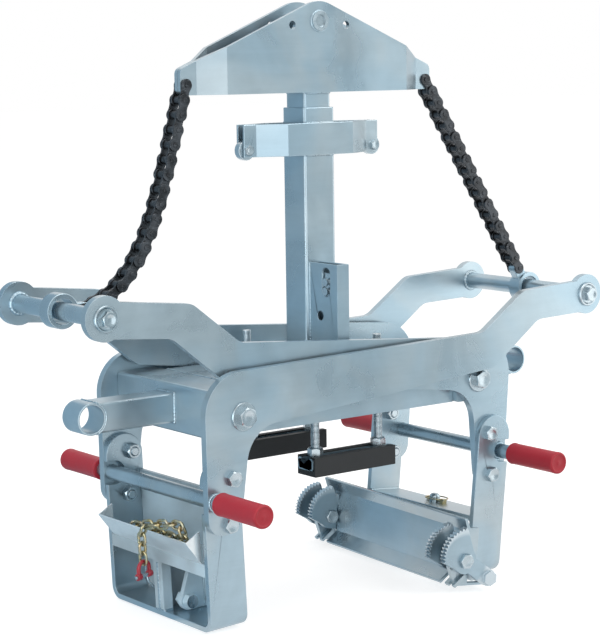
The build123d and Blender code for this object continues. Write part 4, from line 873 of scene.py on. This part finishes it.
class CLAMP_OT_finishes(bpy.types.Operator):
    """Mix the clamp's finishes"""

    bl_idname = "clamp.finishes"
    bl_label = "Finishes"

    def execute(self, context):
        tints = context.scene.clamp_finishes
        zinc, warm, sheet = tints.zinc, tints.zinc_warm, tints.sheet
        mill_group()
        tint_group()
        rubber_group()
        # Colour, metallic, roughness, scales of cloud, streak and grain, contrast, warm tint and relief
        for row in (
            ("zinc_plate", zinc, 0.85, (0.24, 0.36), (7.0, 11.0, 900.0), 0.1, warm, 0.00004),
            ("weld_zinc", shade(zinc, 1.08), 0.9, (0.24, 0.4), (60.0, 80.0, 900.0), 0.16, warm, 0.00008),
            ("bright_zinc", tints.fastener, 1.0, (0.18, 0.34), (40.0, 60.0, 1200.0), 0.1, warm, 0.00003),
            ("bright_sheet", sheet, 0.55, (0.14, 0.26), (14.0, 24.0, 900.0), 0.1, sheet, 0.00001),
            # The same zinc made lighter and nearly matt, painted light for the shaded inside of the left jaw
            ("painted_light_zinc", tints.painted_light_zinc, 0.15, (0.3, 0.44), (9.0, 14.0, 900.0), 0.08, warm, 0.00004),
        ):
            plated(*row)
        self.mix_chain(tints.chain)
        self.mix_gold(tints.gold)
        self.mix_red(tints.red_paint)
        self.mix_rubber("red_rubber", tints.red_rubber, (0.42, 0.58), 0.12)
        self.mix_rubber("black_rubber", tints.black_rubber, (0.5, 0.7), 0.25)
        self.mix_cam(zinc, tints.fastener)
        return {"FINISHED"}

    def mix_chain(self, colour):
        """Oiled dark steel with grey smears and rubbed spots."""
        tree, shader = new_material("oiled_chain", 0.85)
        marks = use_group(tree, "plated_mill_marks", {"Cloud scale": 55.0, "Streak scale": 120.0})
        smear = spread(tree, marks["Cloud"], 0.0, 1.0, 0.4, 0.66)
        dark = blend_colours(tree, smear, shade(colour, 0.75), (0.075, 0.081, 0.09))
        rubbed = spread(tree, marks["Streak"], 0.0, 1.0, 0.58, 0.78)
        put(tree, shader, "Base Color", blend_colours(tree, rubbed, dark, (0.27, 0.29, 0.31)))
        put(tree, shader, "Roughness", spread(tree, marks["Cloud"], 0.24, 0.5))
        bump(tree, shader, marks["Streak"], 0.0001)

    def mix_gold(self, colour):
        """Yellow chromate that drifts to green and rose."""
        tree, shader = new_material("yellow_chromate", 1.0)
        marks = use_group(tree, "plated_mill_marks", {"Cloud scale": 45.0, "Streak scale": 90.0})
        tint = use_group(tree, "chromate_tint", {"Scale": 60.0})
        base = blend_colours(tree, tint["Warmth"], colour, (0.4, 0.4, 0.3))
        rose = spread(tree, marks["Cloud"], 0.0, 0.7, 0.5, 0.75)
        put(tree, shader, "Base Color", blend_colours(tree, rose, base, (0.5, 0.34, 0.26)))
        put(tree, shader, "Roughness", spread(tree, marks["Streak"], 0.2, 0.42))
        bump(tree, shader, marks["Grain"], 0.00003)

    def mix_red(self, colour):
        """Red paint on a forging, with an orange-peel skin."""
        tree, shader = new_material("forged_red", 0.0, Coat_Weight=0.35, Coat_Roughness=0.2)
        grain = use_group(tree, "moulded_grain", {"Grain scale": 420.0, "Patch scale": 60.0})
        share = spread(tree, grain["Patch"], 0.0, 1.0)
        put(tree, shader, "Base Color", blend_colours(tree, share, shade(colour, 0.75), shade(colour, 1.15)))
        put(tree, shader, "Roughness", spread(tree, grain["Patch"], 0.3, 0.45))
        bump(tree, shader, grain["Grain"], 0.00012)

    def mix_rubber(self, name, colour, rough, dust):
        """Moulded rubber with a fine grain and a trace of dust."""
        tree, shader = new_material(name, 0.0, Specular_IOR_Level=0.4)
        grain = use_group(tree, "moulded_grain")
        share = spread(tree, grain["Patch"], 0.0, 1.0)
        dusty = tuple(part * (1 - 0.1 * dust) + 0.04 * dust for part in colour)
        put(tree, shader, "Base Color", blend_colours(tree, share, shade(colour, 0.9), dusty))
        put(tree, shader, "Roughness", spread(tree, grain["Patch"], *rough))
        bump(tree, shader, grain["Grain"], 0.00012)

    def mix_cam(self, zinc, bright):
        """Plated cam whose toothed rim is cut bright."""
        rough = (0.26, 0.42)
        scales = (12.0, 18.0, 900.0)
        tree, shader = plated(
            "cam_zinc", shade(zinc, 0.9), 0.9, rough, scales, 0.1, shade(zinc, 0.95), 0.00004
        )
        centre = tuple(at(UNIT, *CAM_AT))
        axis = tuple(UNIT.col[2].xyz)
        reach = wire(tree, "ShaderNodeVectorMath", {0: object_spot(tree), 1: centre}, operation="SUBTRACT")
        arm = wire(tree, "ShaderNodeVectorMath", {0: reach, 1: axis}, operation="CROSS_PRODUCT")
        far = wire(tree, "ShaderNodeVectorMath", {0: arm}, operation="LENGTH").outputs["Value"]
        rim = wire(tree, "ShaderNodeMapRange", {"Value": far, "From Min": 0.044, "From Max": 0.05})
        base = shader.inputs["Base Color"].links[0].from_socket
        put(tree, shader, "Base Color", blend_colours(tree, rim, base, shade(bright, 1.15)))


class CLAMP_OT_plates(bpy.types.Operator):
    """Give the CAD plates, boxes and tubes their finish and eased edges"""

    bl_idname = "clamp.plates"
    bl_label = "Plates and tubes"

    # Finish, share of the full edge round, and the nodes that have them; all others are zinc plate
    looks = (
        ("bright_sheet", 0.4, "chain_tray"),
        # The left jaw's web and lever bracket take the lightened zinc, painted light in their shade
        ("painted_light_zinc", 1.0, "left_jaw_web"),
        ("painted_light_zinc", 0.6, "left_lever_bracket"),
        ("yellow_chromate", 0.0, "securing_chain"),
        ("yellow_chromate", 0.2, "linchpin"),
        ("forged_red", 0.0, "hammerlock"),
        ("red_rubber", 0.0, "left_grips", "right_grips"),
        ("black_rubber", 1.0, "front_stop_rubber", "rear_stop_rubber"),
        ("oiled_chain", 0.4, "right_chain", "left_chain_1", "left_chain_2", "left_chain_3"),
        ("oiled_chain", 0.3, "chain_anchor_pins"),
        ("cam_zinc", 0.5, "front_cam_pair", "rear_cam_pair"),
        ("bright_zinc", 0.8, "lifting_pin", "left_guide_roller", "right_guide_roller"),
        ("bright_zinc", 0.5, "grip_king_pin", "latch_slider"),
        ("bright_zinc", 0.3, "cam_bolts", "roller_axle_bolts", "pivot_bolts", "stop_rod_nuts"),
        ("bright_zinc", 0.3, "left_jaw_bolts", "right_jaw_bolts", "arm_a_end_bolts", "arm_b_end_bolts"),
    )

    def execute(self, context):
        sizes = context.scene.clamp_sizes
        look_of = {name: (finish, share) for finish, share, *names in self.looks for name in names}
        for name, node in frame["nodes"].items():
            finish, share = look_of.get(name, ("zinc_plate", 1.0))
            node.data.materials.clear()
            node.data.materials.append(finishes[finish])
            if share:
                self.ease(node, sizes.edge_round * share)
        return {"FINISHED"}

    def ease(self, node, width):
        """Weld the loose triangles and round the sharp edges."""
        weld = node.modifiers.new("weld", "WELD")
        weld.merge_threshold = 0.00002
        soft = node.modifiers.new("ease", "BEVEL")
        soft.width = width
        soft.segments = 2
        soft.limit_method = "ANGLE"
        soft.angle_limit = radians(40)
        soft.use_clamp_overlap = True
        even = node.modifiers.new("even", "WEIGHTED_NORMAL")
        even.keep_sharp = True


class CLAMP_OT_hardware(bpy.types.Operator):
    """Make the store of small forms and the trees that lay them out"""

    bl_idname = "clamp.hardware"
    bl_label = "Hardware store"

    # Radii and heights of the turned forms, to be stretched
    washer = [(0, 0), (1, 0), (1, 0.75), (0.95, 1), (0, 1)]
    dish_ring = [(0, 0), (1, 0), (1, 0.7), (0.94, 1), (0.86, 1), (0.74, 0.5), (0.6, 0.42), (0, 0.42)]
    stud = [(0, 0), (1, 0), (1, 0.8), (0.8, 1), (0, 1)]
    shank = [(0, -1), (1, -1), (1, 1), (0, 1)]

    def execute(self, context):
        bpy.data.collections.new("clamp_hardware")
        copies_tree()
        bead_tree()
        rod_tree()
        add_hardware("hex_head", hex_form, 0.0)
        add_hardware("hex_nut", hex_form, 0.667)
        add_hardware("washer", turned, self.washer, 48)
        add_hardware("dish_ring", turned, self.dish_ring, 48)
        add_hardware("stud", turned, self.stud, 32)
        add_hardware("shank", turned, self.shank, 32)
        add_hardware("inner_plates", link_plates, 8.6)
        add_hardware("outer_plates", link_plates, 12.4)
        add_hardware("long_pin", pin_form, 17.6)
        add_hardware("short_pin", pin_form, 13.8)
        add_hardware("roller", roller_form)
        return {"FINISHED"}


class CLAMP_OT_fasteners(bpy.types.Operator):
    """Lay out the bolts, nuts and washers"""

    bl_idname = "clamp.fasteners"
    bl_label = "Bolts and nuts"

    def execute(self, context):
        self.jaw_bolts("left", "arm_a", ARM_A, ARM_A_HALF, ARM_A_HALF - ARM_T - JAW_T)
        self.jaw_bolts("right", "arm_b", ARM_B, ARM_B_HALF + JAW_T, ARM_B_HALF - ARM_T)
        for body, arm, half in ARMS:
            spots = []
            for side in SIDES:
                end = facing(arm, *ARM_END, half, side)
                spots.append(disc("dish_ring", end, *END_DISH))
                spots.append(hexagon("hex_head", moved(end, 0, 0, 2.0), BOLT_HEX, NUT_T, 0.3))
            fasteners(f"{body}_end_fasteners", body, spots, f"{body}_end_bolts")
        self.pivots()
        self.axles()
        self.cam_bolts()
        nuts = []
        for x in ROD_XS:
            for y in (STOP_Y, -STOP_Y):
                under = moved(FLOOR, x, y, DECK_Z - DECK_T) @ FLIP
                nuts.append(hexagon("hex_nut", moved(FLOOR, x, y, DECK_Z), BOLT_HEX, NUT_T, 0.2))
                nuts.append(hexagon("hex_nut", under, BOLT_HEX, NUT_T, 0.4))
        fasteners("deck_nuts", "base", nuts, "stop_rod_nuts")
        face = moved(JAW_A, LUG_BOLT[0], LUG_BOLT[1] - JAW_DOWN, LUG_HEAD)
        fasteners("lug_bolt_face", "arm_a", [disc("stud", face, 11.2, 1.0)])
        return {"FINISHED"}

    def jaw_bolts(self, name, body, arm, outer, inner):
        """Bolts through a leg and its jaw, heads outside and nuts inside."""
        spots = []
        for i, spot in enumerate(JAW_BOLTS):
            for side in SIDES:
                head = facing(arm, *spot, outer, side)
                spots.append(hexagon("hex_head", head, BOLT_HEX, JAW_HEAD_T, 0.25 + 0.4 * i))
                nut = facing(arm, *spot, inner, side) @ FLIP
                spots.append(hexagon("hex_nut", nut, BOLT_HEX, NUT_T, 0.5 - 0.3 * i))
                spots.append(disc("stud", nut, 8, 15))
        fasteners(f"{name}_jaw_fasteners", body, spots, f"{name}_jaw_bolts")

    def pivots(self):
        """Pivot bolts with their large washers."""
        spots = []
        for _, arm, half in ARMS:
            for side in SIDES:
                end = facing(arm, 0, 0, half + 0.1, side)
                spots.append(disc("washer", end, *PIVOT_WASHER))
                spots.append(hexagon("hex_head", moved(end, 0, 0, PIVOT_WASHER[1]), *PIVOT_HEX, 0.15))
        fasteners("pivot_fasteners", "base", spots, "pivot_bolts")

    def axles(self):
        """Axle bolts of the chain guide's rollers."""
        spots = []
        for name in ("left_roller_spin", "right_roller_spin"):
            middle = place(JOINT_AT[name], (1, 0, 0), (0, -1, 0))
            spots.append(disc("shank", middle, AXLE_R, AXLE_HALF))
            for side in SIDES:
                spots.append(hexagon("hex_head", facing(middle, 0, 0, AXLE_HALF, side), *AXLE_HEX, 0.1))
        fasteners("roller_axles", "base", spots, "roller_axle_bolts")

    def cam_bolts(self):
        """Bolts that the cam pairs turn on."""
        spots = []
        for end in SIDES:
            middle = moved(UNIT, *CAM_AT, end * CAM_MIDDLE)
            spots.append(disc("shank", middle, CAM_BOLT_R, CAM_HALF))
            for side in SIDES:
                head = facing(middle, 0, 0, CAM_HALF, side)
                spots.append(hexagon("hex_head", head, BOLT_HEX, CAM_HEAD_T, pi / 6))
        fasteners("cam_fasteners", "grip_unit", spots, "cam_bolts")


class CLAMP_OT_chains(bpy.types.Operator):
    """Lay out the links of both roller chains"""

    bl_idname = "clamp.chains"
    bl_label = "Roller chains"

    def execute(self, context):
        right = self.straight(JOINT_AT["right_chain_swing"], JOINT_AT["right_eye_swing"])
        self.lay("right_chain", right, 0, LINKS)
        left = self.slack(JOINT_AT["left_chain_1_swing"], JOINT_AT["left_chain_eye_swing"])
        for number, (first, last) in enumerate(zip(LEFT_SPLITS, LEFT_SPLITS[1:]), 1):
            self.lay(f"left_chain_{number}", left, first, last)
        return {"FINISHED"}

    def straight(self, start, end):
        """Pin centres of a taut chain, evenly between two points."""
        return [Vector(start).lerp(Vector(end), i / LINKS) for i in range(LINKS + 1)]

    def slack(self, start, end):
        """Pin centres of a slack chain whose links turn by a growing share of one bend."""
        span = hypot(end[0] - start[0], end[2] - start[2])

        def run(bend):
            turns = [bend * (i / LINKS) ** SAG_POWER for i in range(LINKS)]
            return sum(cos(t) for t in turns) * PITCH * MM, sum(sin(t) for t in turns) * PITCH * MM

        low, high = 0.0, pi
        for _ in range(60):
            bend = (low + high) / 2
            low, high = (bend, high) if hypot(*run(bend)) > span else (low, bend)
        across, up = run(low)
        first = atan2(end[2] - start[2], start[0] - end[0]) - atan2(up, across)
        pins = [Vector(start)]
        for i in range(LINKS):
            turn = first + low * (i / LINKS) ** SAG_POWER
            pins.append(pins[-1] + Vector((-cos(turn), 0, sin(turn))) * PITCH * MM)
        return pins

    def lay(self, name, pins, first, last):
        """One body's links: even ones are inner links, odd ones carry the pins."""
        forms = []
        for i in range(first, last):
            link = place(pins[i], pins[i + 1] - pins[i], (0, -1, 0))
            after = moved(link, PITCH, 0)
            if i % 2:
                forms += [("outer_plates", link), ("long_pin", link), ("long_pin", after)]
                continue
            forms.append(("inner_plates", link))
            if i > 0:
                forms.append(("roller", link))
            forms.append(("roller" if i < LINKS - 1 else "short_pin", after))
        spots = [(label, where, (1.0, 1.0, 1.0)) for label, where in forms]
        copies(f"{name}_links", name, "chain_steel", "oiled_chain", spots, name)


class CLAMP_OT_welds(bpy.types.Operator):
    """Run the weld beads along the joints of plates and tubes"""

    bl_idname = "clamp.welds"
    bl_label = "Welds"

    def execute(self, context):
        sizes = context.scene.clamp_sizes
        # Beads of each body: the bead's radius, its points in millimetres, and whether it closes
        plan = {
            "base": self.base_beads(),
            "headstock": self.head_beads(),
            "arm_a": self.arm_beads(ARM_A, ARM_A_HALF) + self.left_jaw_beads(),
            "arm_b": self.arm_beads(ARM_B, ARM_B_HALF) + self.right_jaw_beads(),
            "grip_unit": self.unit_beads(),
        }
        for number, (body, beads) in enumerate(plan.items()):
            self.run(body, beads, sizes, sizes.weld_seed + number)
        return {"FINISHED"}

    def base_beads(self):
        """Beads of the mast's foot, the beam's eyes and boxes, the deck, the chain guide and the latch."""
        mast_face = MAST_D / 2
        low, top = GUIDE_ENDS
        beads = [(4.0, self.frame(MAST_W, MAST_D, DECK_Z, MAST_CORNER), True)]
        for side in SIDES:
            eye = EYE_X * side
            root = eye - side * EYE_ROOT
            for up in (BEAM_HALF, -BEAM_HALF):
                beads.append((3.0, [(root, y, PIVOT_Z + up) for y in (1 - BEAM_HALF, BEAM_HALF - 1)], False))
            for face in SIDES:
                arc = []
                for angle in range(-66, 67, 6):
                    back = side * EYE_R * cos(radians(angle))
                    arc.append((eye - back, face * BEAM_HALF, PIVOT_Z + EYE_R * sin(radians(angle))))
                beads.append((2.2, arc, False))
                seam = [(side * MAST_W / 2, face * mast_face, PIVOT_Z + up) for up in (low + 2, top - 2)]
                beads.append((2.4, seam, False))
            for x in BOX_FACES:
                ring = ((1, 1), (1, -1), (-1, -1), (-1, 1))
                points = [(side * x, y * BEAM_HALF, PIVOT_Z + z * BEAM_HALF) for y, z in ring]
                beads.append((3.0, points, True))
            deck_edge = [(side * BOX_FACES[1], y, DECK_Z - 0.4) for y in (1 - DECK_HALF, DECK_HALF - 1)]
            beads.append((1.8, deck_edge, False))
            for up in GUIDE_ENDS:
                beads.append((2.6, [(x, side * mast_face, PIVOT_Z + up) for x in (-30, 30)], False))
        for x in LATCH_SIDES:
            beads.append((2.4, [(x, -mast_face - 0.3, z) for z in (DECK_Z + 3, LATCH_TOP - 1)], False))
        left, right = LATCH_SIDES
        back = -mast_face - 1.5
        foot = ((left, back), (left, LATCH_FRONT), (right, LATCH_FRONT), (right, back))
        beads.append((2.6, [(x, y, DECK_Z) for x, y in foot], False))
        return beads

    def head_beads(self):
        """Beads of the inner tube's top and round the lifting pin."""
        beads = []
        for side in SIDES:
            beads.append((3.0, [(x, side * (HEAD_INNER + 0.4), HEAD_Z - 0.2) for x in (-26, 26)], False))
            beads.append((2.0, self.circle(FRONT, 0, HEAD_PIN_Z, side * HEAD_OUTER, HEAD_PIN_R + 0.6), True))
        return beads

    def arm_beads(self, arm, half):
        """Beads at the crossbar's ends and round the handle tube."""
        beads = []
        for side in SIDES:
            beads.append((4.6, self.circle(arm, *ARM_END, side * (half - ARM_T), CROSSBAR_R + 1.5), True))
            beads.append((3.2, self.circle(arm, *HANDLE_AT, side * (half + 0.2), HANDLE_R + 0.4), True))
        return beads

    def left_jaw_beads(self):
        """Beads round the left jaw's web, on its post and ledge, and along the lug."""
        inside = ARM_A_HALF - ARM_T - JAW_T - 0.2
        low = JAW_T - JAW_DOWN
        web = JAW_W / 2 - WEB_T - 0.3
        out = -JAW_W / 2
        top = low + LEDGE_FACES[0] - 2
        edge = [(inside, top), (inside, low + JAW_BEND), (inside - 6, low + 7), (inside - JAW_BEND, low)]
        around = [(web, up, z) for z, up in edge] + [(web, up, -z) for z, up in reversed(edge)]
        corners = ((POST_DEPTH, -POST_HALF), (1, -POST_HALF), (1, POST_HALF), (POST_DEPTH, POST_HALF))
        foot = [(out + across, low, z) for across, z in corners]
        runs = [(3.0, around), (3.6, [(out + 1.2, up, 0) for up in (low + 2, top)]), (2.6, foot)]
        ends = (low + LEDGE_FACES[0] + 1, low + LEDGE_FACES[1] - 1)
        runs += [(2.4, [(out + LEDGE_T, up, z) for up in ends]) for z in (inside, -inside)]
        runs += [(2.4, [(web, low + up, z) for up in (4, 76)]) for z in LUG_FACES]
        return [(width, self.lay_on(JAW_A, points), False) for width, points in runs]

    def right_jaw_beads(self):
        """Beads above and below the ends of the right jaw's shelf."""
        half = JAW_W / 2 - 2
        beads = []
        for side in SIDES:
            for up in SHELF_FACES:
                points = [(across, up - JAW_DOWN, side * (ARM_B_HALF - 0.2)) for across in (-half, half)]
                beads.append((2.8, self.lay_on(JAW_B, points), False))
        return beads

    def unit_beads(self):
        """Beads behind the grip unit's folded face, along its tongue and its end plates."""
        runs = [(2.6, [(FACE_BACK, up, z) for z in (-88, 88)]) for up in TONGUE_FACES]
        for side in SIDES:
            runs += [(2.2, [(FACE_BACK, up, side * z) for up in (34, 80)]) for z in END_PLATES]
        return [(width, self.lay_on(UNIT, points), False) for width, points in runs]

    def lay_on(self, where, points):
        """Points of a place, back in the clamp's own millimetres."""
        return [at(where, *spot) / MM for spot in points]

    def circle(self, where, across, up, out, radius):
        """Ring of points round a spot on a place."""
        count = 40
        angles = [2 * pi * i / count for i in range(count)]
        return self.lay_on(where, [(across + radius * cos(t), up + radius * sin(t), out) for t in angles])

    def frame(self, across, deep, z, corner):
        """Level ring round a square tube with rounded corners."""
        points = []
        for i, (sx, sy) in enumerate(((1, 1), (-1, 1), (-1, -1), (1, -1))):
            for step in range(5):
                angle = pi / 2 * (i + step / 4)
                x = sx * (across / 2 - corner) + corner * cos(angle)
                points.append((x, sy * (deep / 2 - corner) + corner * sin(angle), z))
        return points

    def run(self, body, beads, sizes, seed):
        """One mesh of all the beads of a body."""
        points, edges, widths = [], [], []
        for width, run, closed in beads:
            first = len(points)
            points += [Vector(spot) * MM for spot in run]
            widths += [width * MM] * len(run)
            edges += [(i, i + 1) for i in range(first, len(points) - 1)]
            edges += [(len(points) - 1, first)] if closed else []
        name = f"{body}_welds"
        mesh = bpy.data.meshes.new(name)
        mesh.from_pydata(points, edges, [])
        mesh.attributes.new("width", "FLOAT", "POINT").data.foreach_set("value", widths)
        values = {"Ripple step": sizes.ripple_step, "Ripple depth": sizes.ripple_depth, "Seed": float(seed)}
        piece = grow(name, mesh, "weld_bead", values, body, "zinc_steel", "weld_zinc")
        piece.data.polygons.foreach_set("use_smooth", [True] * len(piece.data.polygons))


class CLAMP_OT_grips(bpy.types.Operator):
    """Turn the red handle grips with their rimmed ends"""

    bl_idname = "clamp.grips"
    bl_label = "Grips"

    # Radii and heights from the open end to the closed one, in millimetres
    profile = [
        (13.2, 0.0), (17.6, 0.0), (18.9, 0.5), (19.5, 1.9), (19.5, 3.4), (19.1, 5.0), (18.9, 8.0),
        (18.9, 60.0), (19.1, 106.0), (19.5, 110.5), (19.5, 113.6), (19.1, 115.4), (18.1, 116.5),
        (16.8, 116.9), (15.4, 116.7), (14.6, 115.9), (13.6, 115.5), (4.0, 115.5), (3.2, 115.9),
        (2.0, 116.2), (0.0, 116.2),
    ]

    def execute(self, context):
        for name, body, arm in (("left", "arm_a", ARM_A), ("right", "arm_b", ARM_B)):
            shape = bmesh.new()
            for side in SIDES:
                turned(shape, in_metres(self.profile), 64, facing(arm, *HANDLE_AT, GRIP_ROOT, side))
            new_piece(
                f"{name}_rubber_grips", shape, 60, body, "red_rubber", "red_rubber", f"{name}_grips"
            )
        return {"FINISHED"}


class CLAMP_OT_coupling(bpy.types.Operator):
    """Forge the red coupling link and set its pin"""

    bl_idname = "clamp.coupling"
    bl_label = "Coupling link"

    # Height of the arch, radius of its bend, and the profiles of its feet and its pin, in millimetres
    rise = 24.0
    bend = 13.0
    foot = [
        (0.0, -4.5), (4.9, -4.5), (5.7, -4.1), (6.0, -3.3), (6.0, 3.3), (5.7, 4.1), (4.9, 4.5), (0.0, 4.5),
    ]
    pin = [(0.0, -21.0), (2.3, -21.0), (3.0, -20.3), (3.0, 20.3), (2.3, 21.0), (0.0, 21.0)]

    def execute(self, context):
        where = self.find(frame["nodes"]["hammerlock"])
        across = where @ Matrix.Rotation(-pi / 2, 4, "X")
        shape = bmesh.new()
        self.arch(shape, where)
        for side in SIDES:
            turned(shape, in_metres(self.foot), 36, moved(across, 0, 0, side * self.bend))
        new_piece("coupling_arch", shape, 50, "arm_a", "red_paint", "forged_red", "hammerlock")
        shape = bmesh.new()
        turned(shape, in_metres(self.pin), 28, across)
        new_piece("coupling_pin", shape, SHARP, "arm_a", "bright_fasteners", "bright_zinc")
        return {"FINISHED"}

    def find(self, node):
        """Place of the link, read from its solid: x up its arch, y along its pin."""
        spots = [node.matrix_world @ vertex.co for vertex in node.data.vertices]
        middle = sum(spots, Vector()) / len(spots)
        ends = [middle]
        for _ in range(3):
            ends.append(max(spots, key=lambda spot: (spot - ends[-1]).length))
        along = (ends[3] - ends[2]).normalized()
        caps = []
        for tip, way in ((ends[2], -along), (ends[3], along)):
            near = [spot for spot in spots if (tip - spot).dot(way) < 1.2 * MM]
            caps.append(sum(near, Vector()) / len(near))
        pin = (caps[1] - caps[0]).normalized()
        centre = (caps[0] + caps[1]) / 2
        up = middle - centre
        up = (up - pin * up.dot(pin)).normalized()
        return place(centre, up, up.cross(pin))

    def arch(self, shape, where):
        """Bent forging, thicker towards its feet."""
        run = self.rise - self.bend
        leg = [(run * i / 6, self.bend, 1.0 - i / 12) for i in range(6)]
        turns = [pi * i / 20 for i in range(21)]
        top = [(run + self.bend * sin(t), self.bend * cos(t), 0.5 * abs(cos(t))) for t in turns]
        line = leg + top + [(x, -y, stout) for x, y, stout in reversed(leg)]
        count = 18
        rings = []
        for i, (x, y, stout) in enumerate(line):
            before, after = line[max(i - 1, 0)], line[min(i + 1, len(line) - 1)]
            way = Vector((after[0] - before[0], after[1] - before[1])).normalized()
            ring = []
            for angle in (2 * pi * k / count for k in range(count)):
                side, lift = (3.0 + 0.5 * stout) * cos(angle), (3.0 + 1.2 * stout) * sin(angle)
                ring.append(shape.verts.new(at(where, x + way.y * side, y - way.x * side, lift)))
            rings.append(ring)
        skin(shape, rings)
        shape.faces.new(rings[0])
        shape.faces.new(rings[-1][::-1])


class CLAMP_OT_height_stops(bpy.types.Operator):
    """Make the height stops' rails, threaded rods and nuts"""

    bl_idname = "clamp.height_stops"
    bl_label = "Height stops"

    def execute(self, context):
        sizes = context.scene.clamp_sizes
        for name, y in (("front", -STOP_Y), ("rear", STOP_Y)):
            body = f"{name}_stop"
            self.rail(name, body, y)
            self.rods(name, body, y, sizes)
            nuts = [
                hexagon("hex_nut", moved(FLOOR, x, y, STOP_TOP), BOLT_HEX, NUT_T, 0.3 + x / 200)
                for x in ROD_XS
            ]
            fasteners(f"{name}_rail_nuts", body, nuts)
        return {"FINISHED"}

    def rail(self, name, body, middle):
        """C rail with rounded bends, open upwards."""
        top = STOP_TOP - 2.5
        outer = [(11, top), (17.5, top), (20.5, top - 3), (20.5, top - 18), (17.5, top - 21)]
        inner = [(16.5, top - 18.5), (18, top - 17), (18, top - 4), (16.5, top - 2.5), (11, top - 2.5)]
        mirrored = [(-y, z) for half in (outer, inner) for y, z in reversed(half)]
        section = outer + mirrored + inner
        shape = bmesh.new()
        ends = []
        for x in (-STOP_HALF, STOP_HALF):
            ends.append([shape.verts.new((x * MM, (middle + y) * MM, z * MM)) for y, z in section])
        skin(shape, ends)
        shape.faces.new(ends[0])
        shape.faces.new(ends[1][::-1])
        bmesh.ops.triangulate(shape, faces=[face for face in shape.faces if len(face.verts) > 4])
        new_piece(f"{name}_stop_rail", shape, 50, body, "zinc_steel", "zinc_plate", f"{name}_stop_hanger")

    def rods(self, name, body, y, sizes):
        """Two threaded rods up through the deck."""
        foot = STOP_TOP - 13.0
        mesh = bpy.data.meshes.new(f"{name}_stop_rods")
        mesh.from_pydata([(x * MM, y * MM, foot * MM) for x in ROD_XS], [], [])
        values = {
            "Rod radius": sizes.rod_radius,
            "Length": (ROD_TOP - foot) * MM,
            "Pitch": sizes.thread_pitch,
        }
        grow(f"{name}_stop_rods", mesh, "threaded_rod", values, body, "bright_fasteners", "bright_zinc")


class CLAMP_PT_panel(bpy.types.Panel):
    """Sidebar panel with the clamp's steps and settings"""

    bl_idname = "CLAMP_PT_panel"
    bl_label = "Lifting clamp"
    bl_space_type = "VIEW_3D"
    bl_region_type = "UI"
    bl_category = "Clamp"

    def draw(self, context):
        for operator in OPERATORS:
            self.layout.operator(operator.bl_idname)
        for group in (context.scene.clamp_finishes, context.scene.clamp_sizes, context.scene.clamp_studio):
            for name in group.bl_rna.properties.keys():
                if name not in ("rna_type", "name"):
                    self.layout.prop(group, name)


OPERATORS = (
    CLAMP_OT_stage,
    CLAMP_OT_finishes,
    CLAMP_OT_plates,
    CLAMP_OT_hardware,
    CLAMP_OT_fasteners,
    CLAMP_OT_chains,
    CLAMP_OT_welds,
    CLAMP_OT_grips,
    CLAMP_OT_coupling,
    CLAMP_OT_height_stops,
)
CLASSES = (ClampFinishes, ClampSizes, ClampStudio, *OPERATORS, CLAMP_PT_panel)


def register():
    """Register the classes and hang their settings on the scene."""
    for item in CLASSES:
        bpy.utils.register_class(item)
    bpy.types.Scene.clamp_finishes = PointerProperty(type=ClampFinishes)
    bpy.types.Scene.clamp_sizes = PointerProperty(type=ClampSizes)
    bpy.types.Scene.clamp_studio = PointerProperty(type=ClampStudio)


def unregister():
    """Take the settings and the classes away again."""
    del bpy.types.Scene.clamp_studio
    del bpy.types.Scene.clamp_sizes
    del bpy.types.Scene.clamp_finishes
    for item in reversed(CLASSES):
        bpy.utils.unregister_class(item)


def main():
    """Dress the clamp, piece by piece."""
    register()
    bpy.ops.clamp.stage()
    bpy.ops.clamp.finishes()
    bpy.ops.clamp.plates()
    bpy.ops.clamp.hardware()
    bpy.ops.clamp.fasteners()
    bpy.ops.clamp.chains()
    bpy.ops.clamp.welds()
    bpy.ops.clamp.grips()
    bpy.ops.clamp.coupling()
    bpy.ops.clamp.height_stops()


if __name__ == "__main__":
    main()
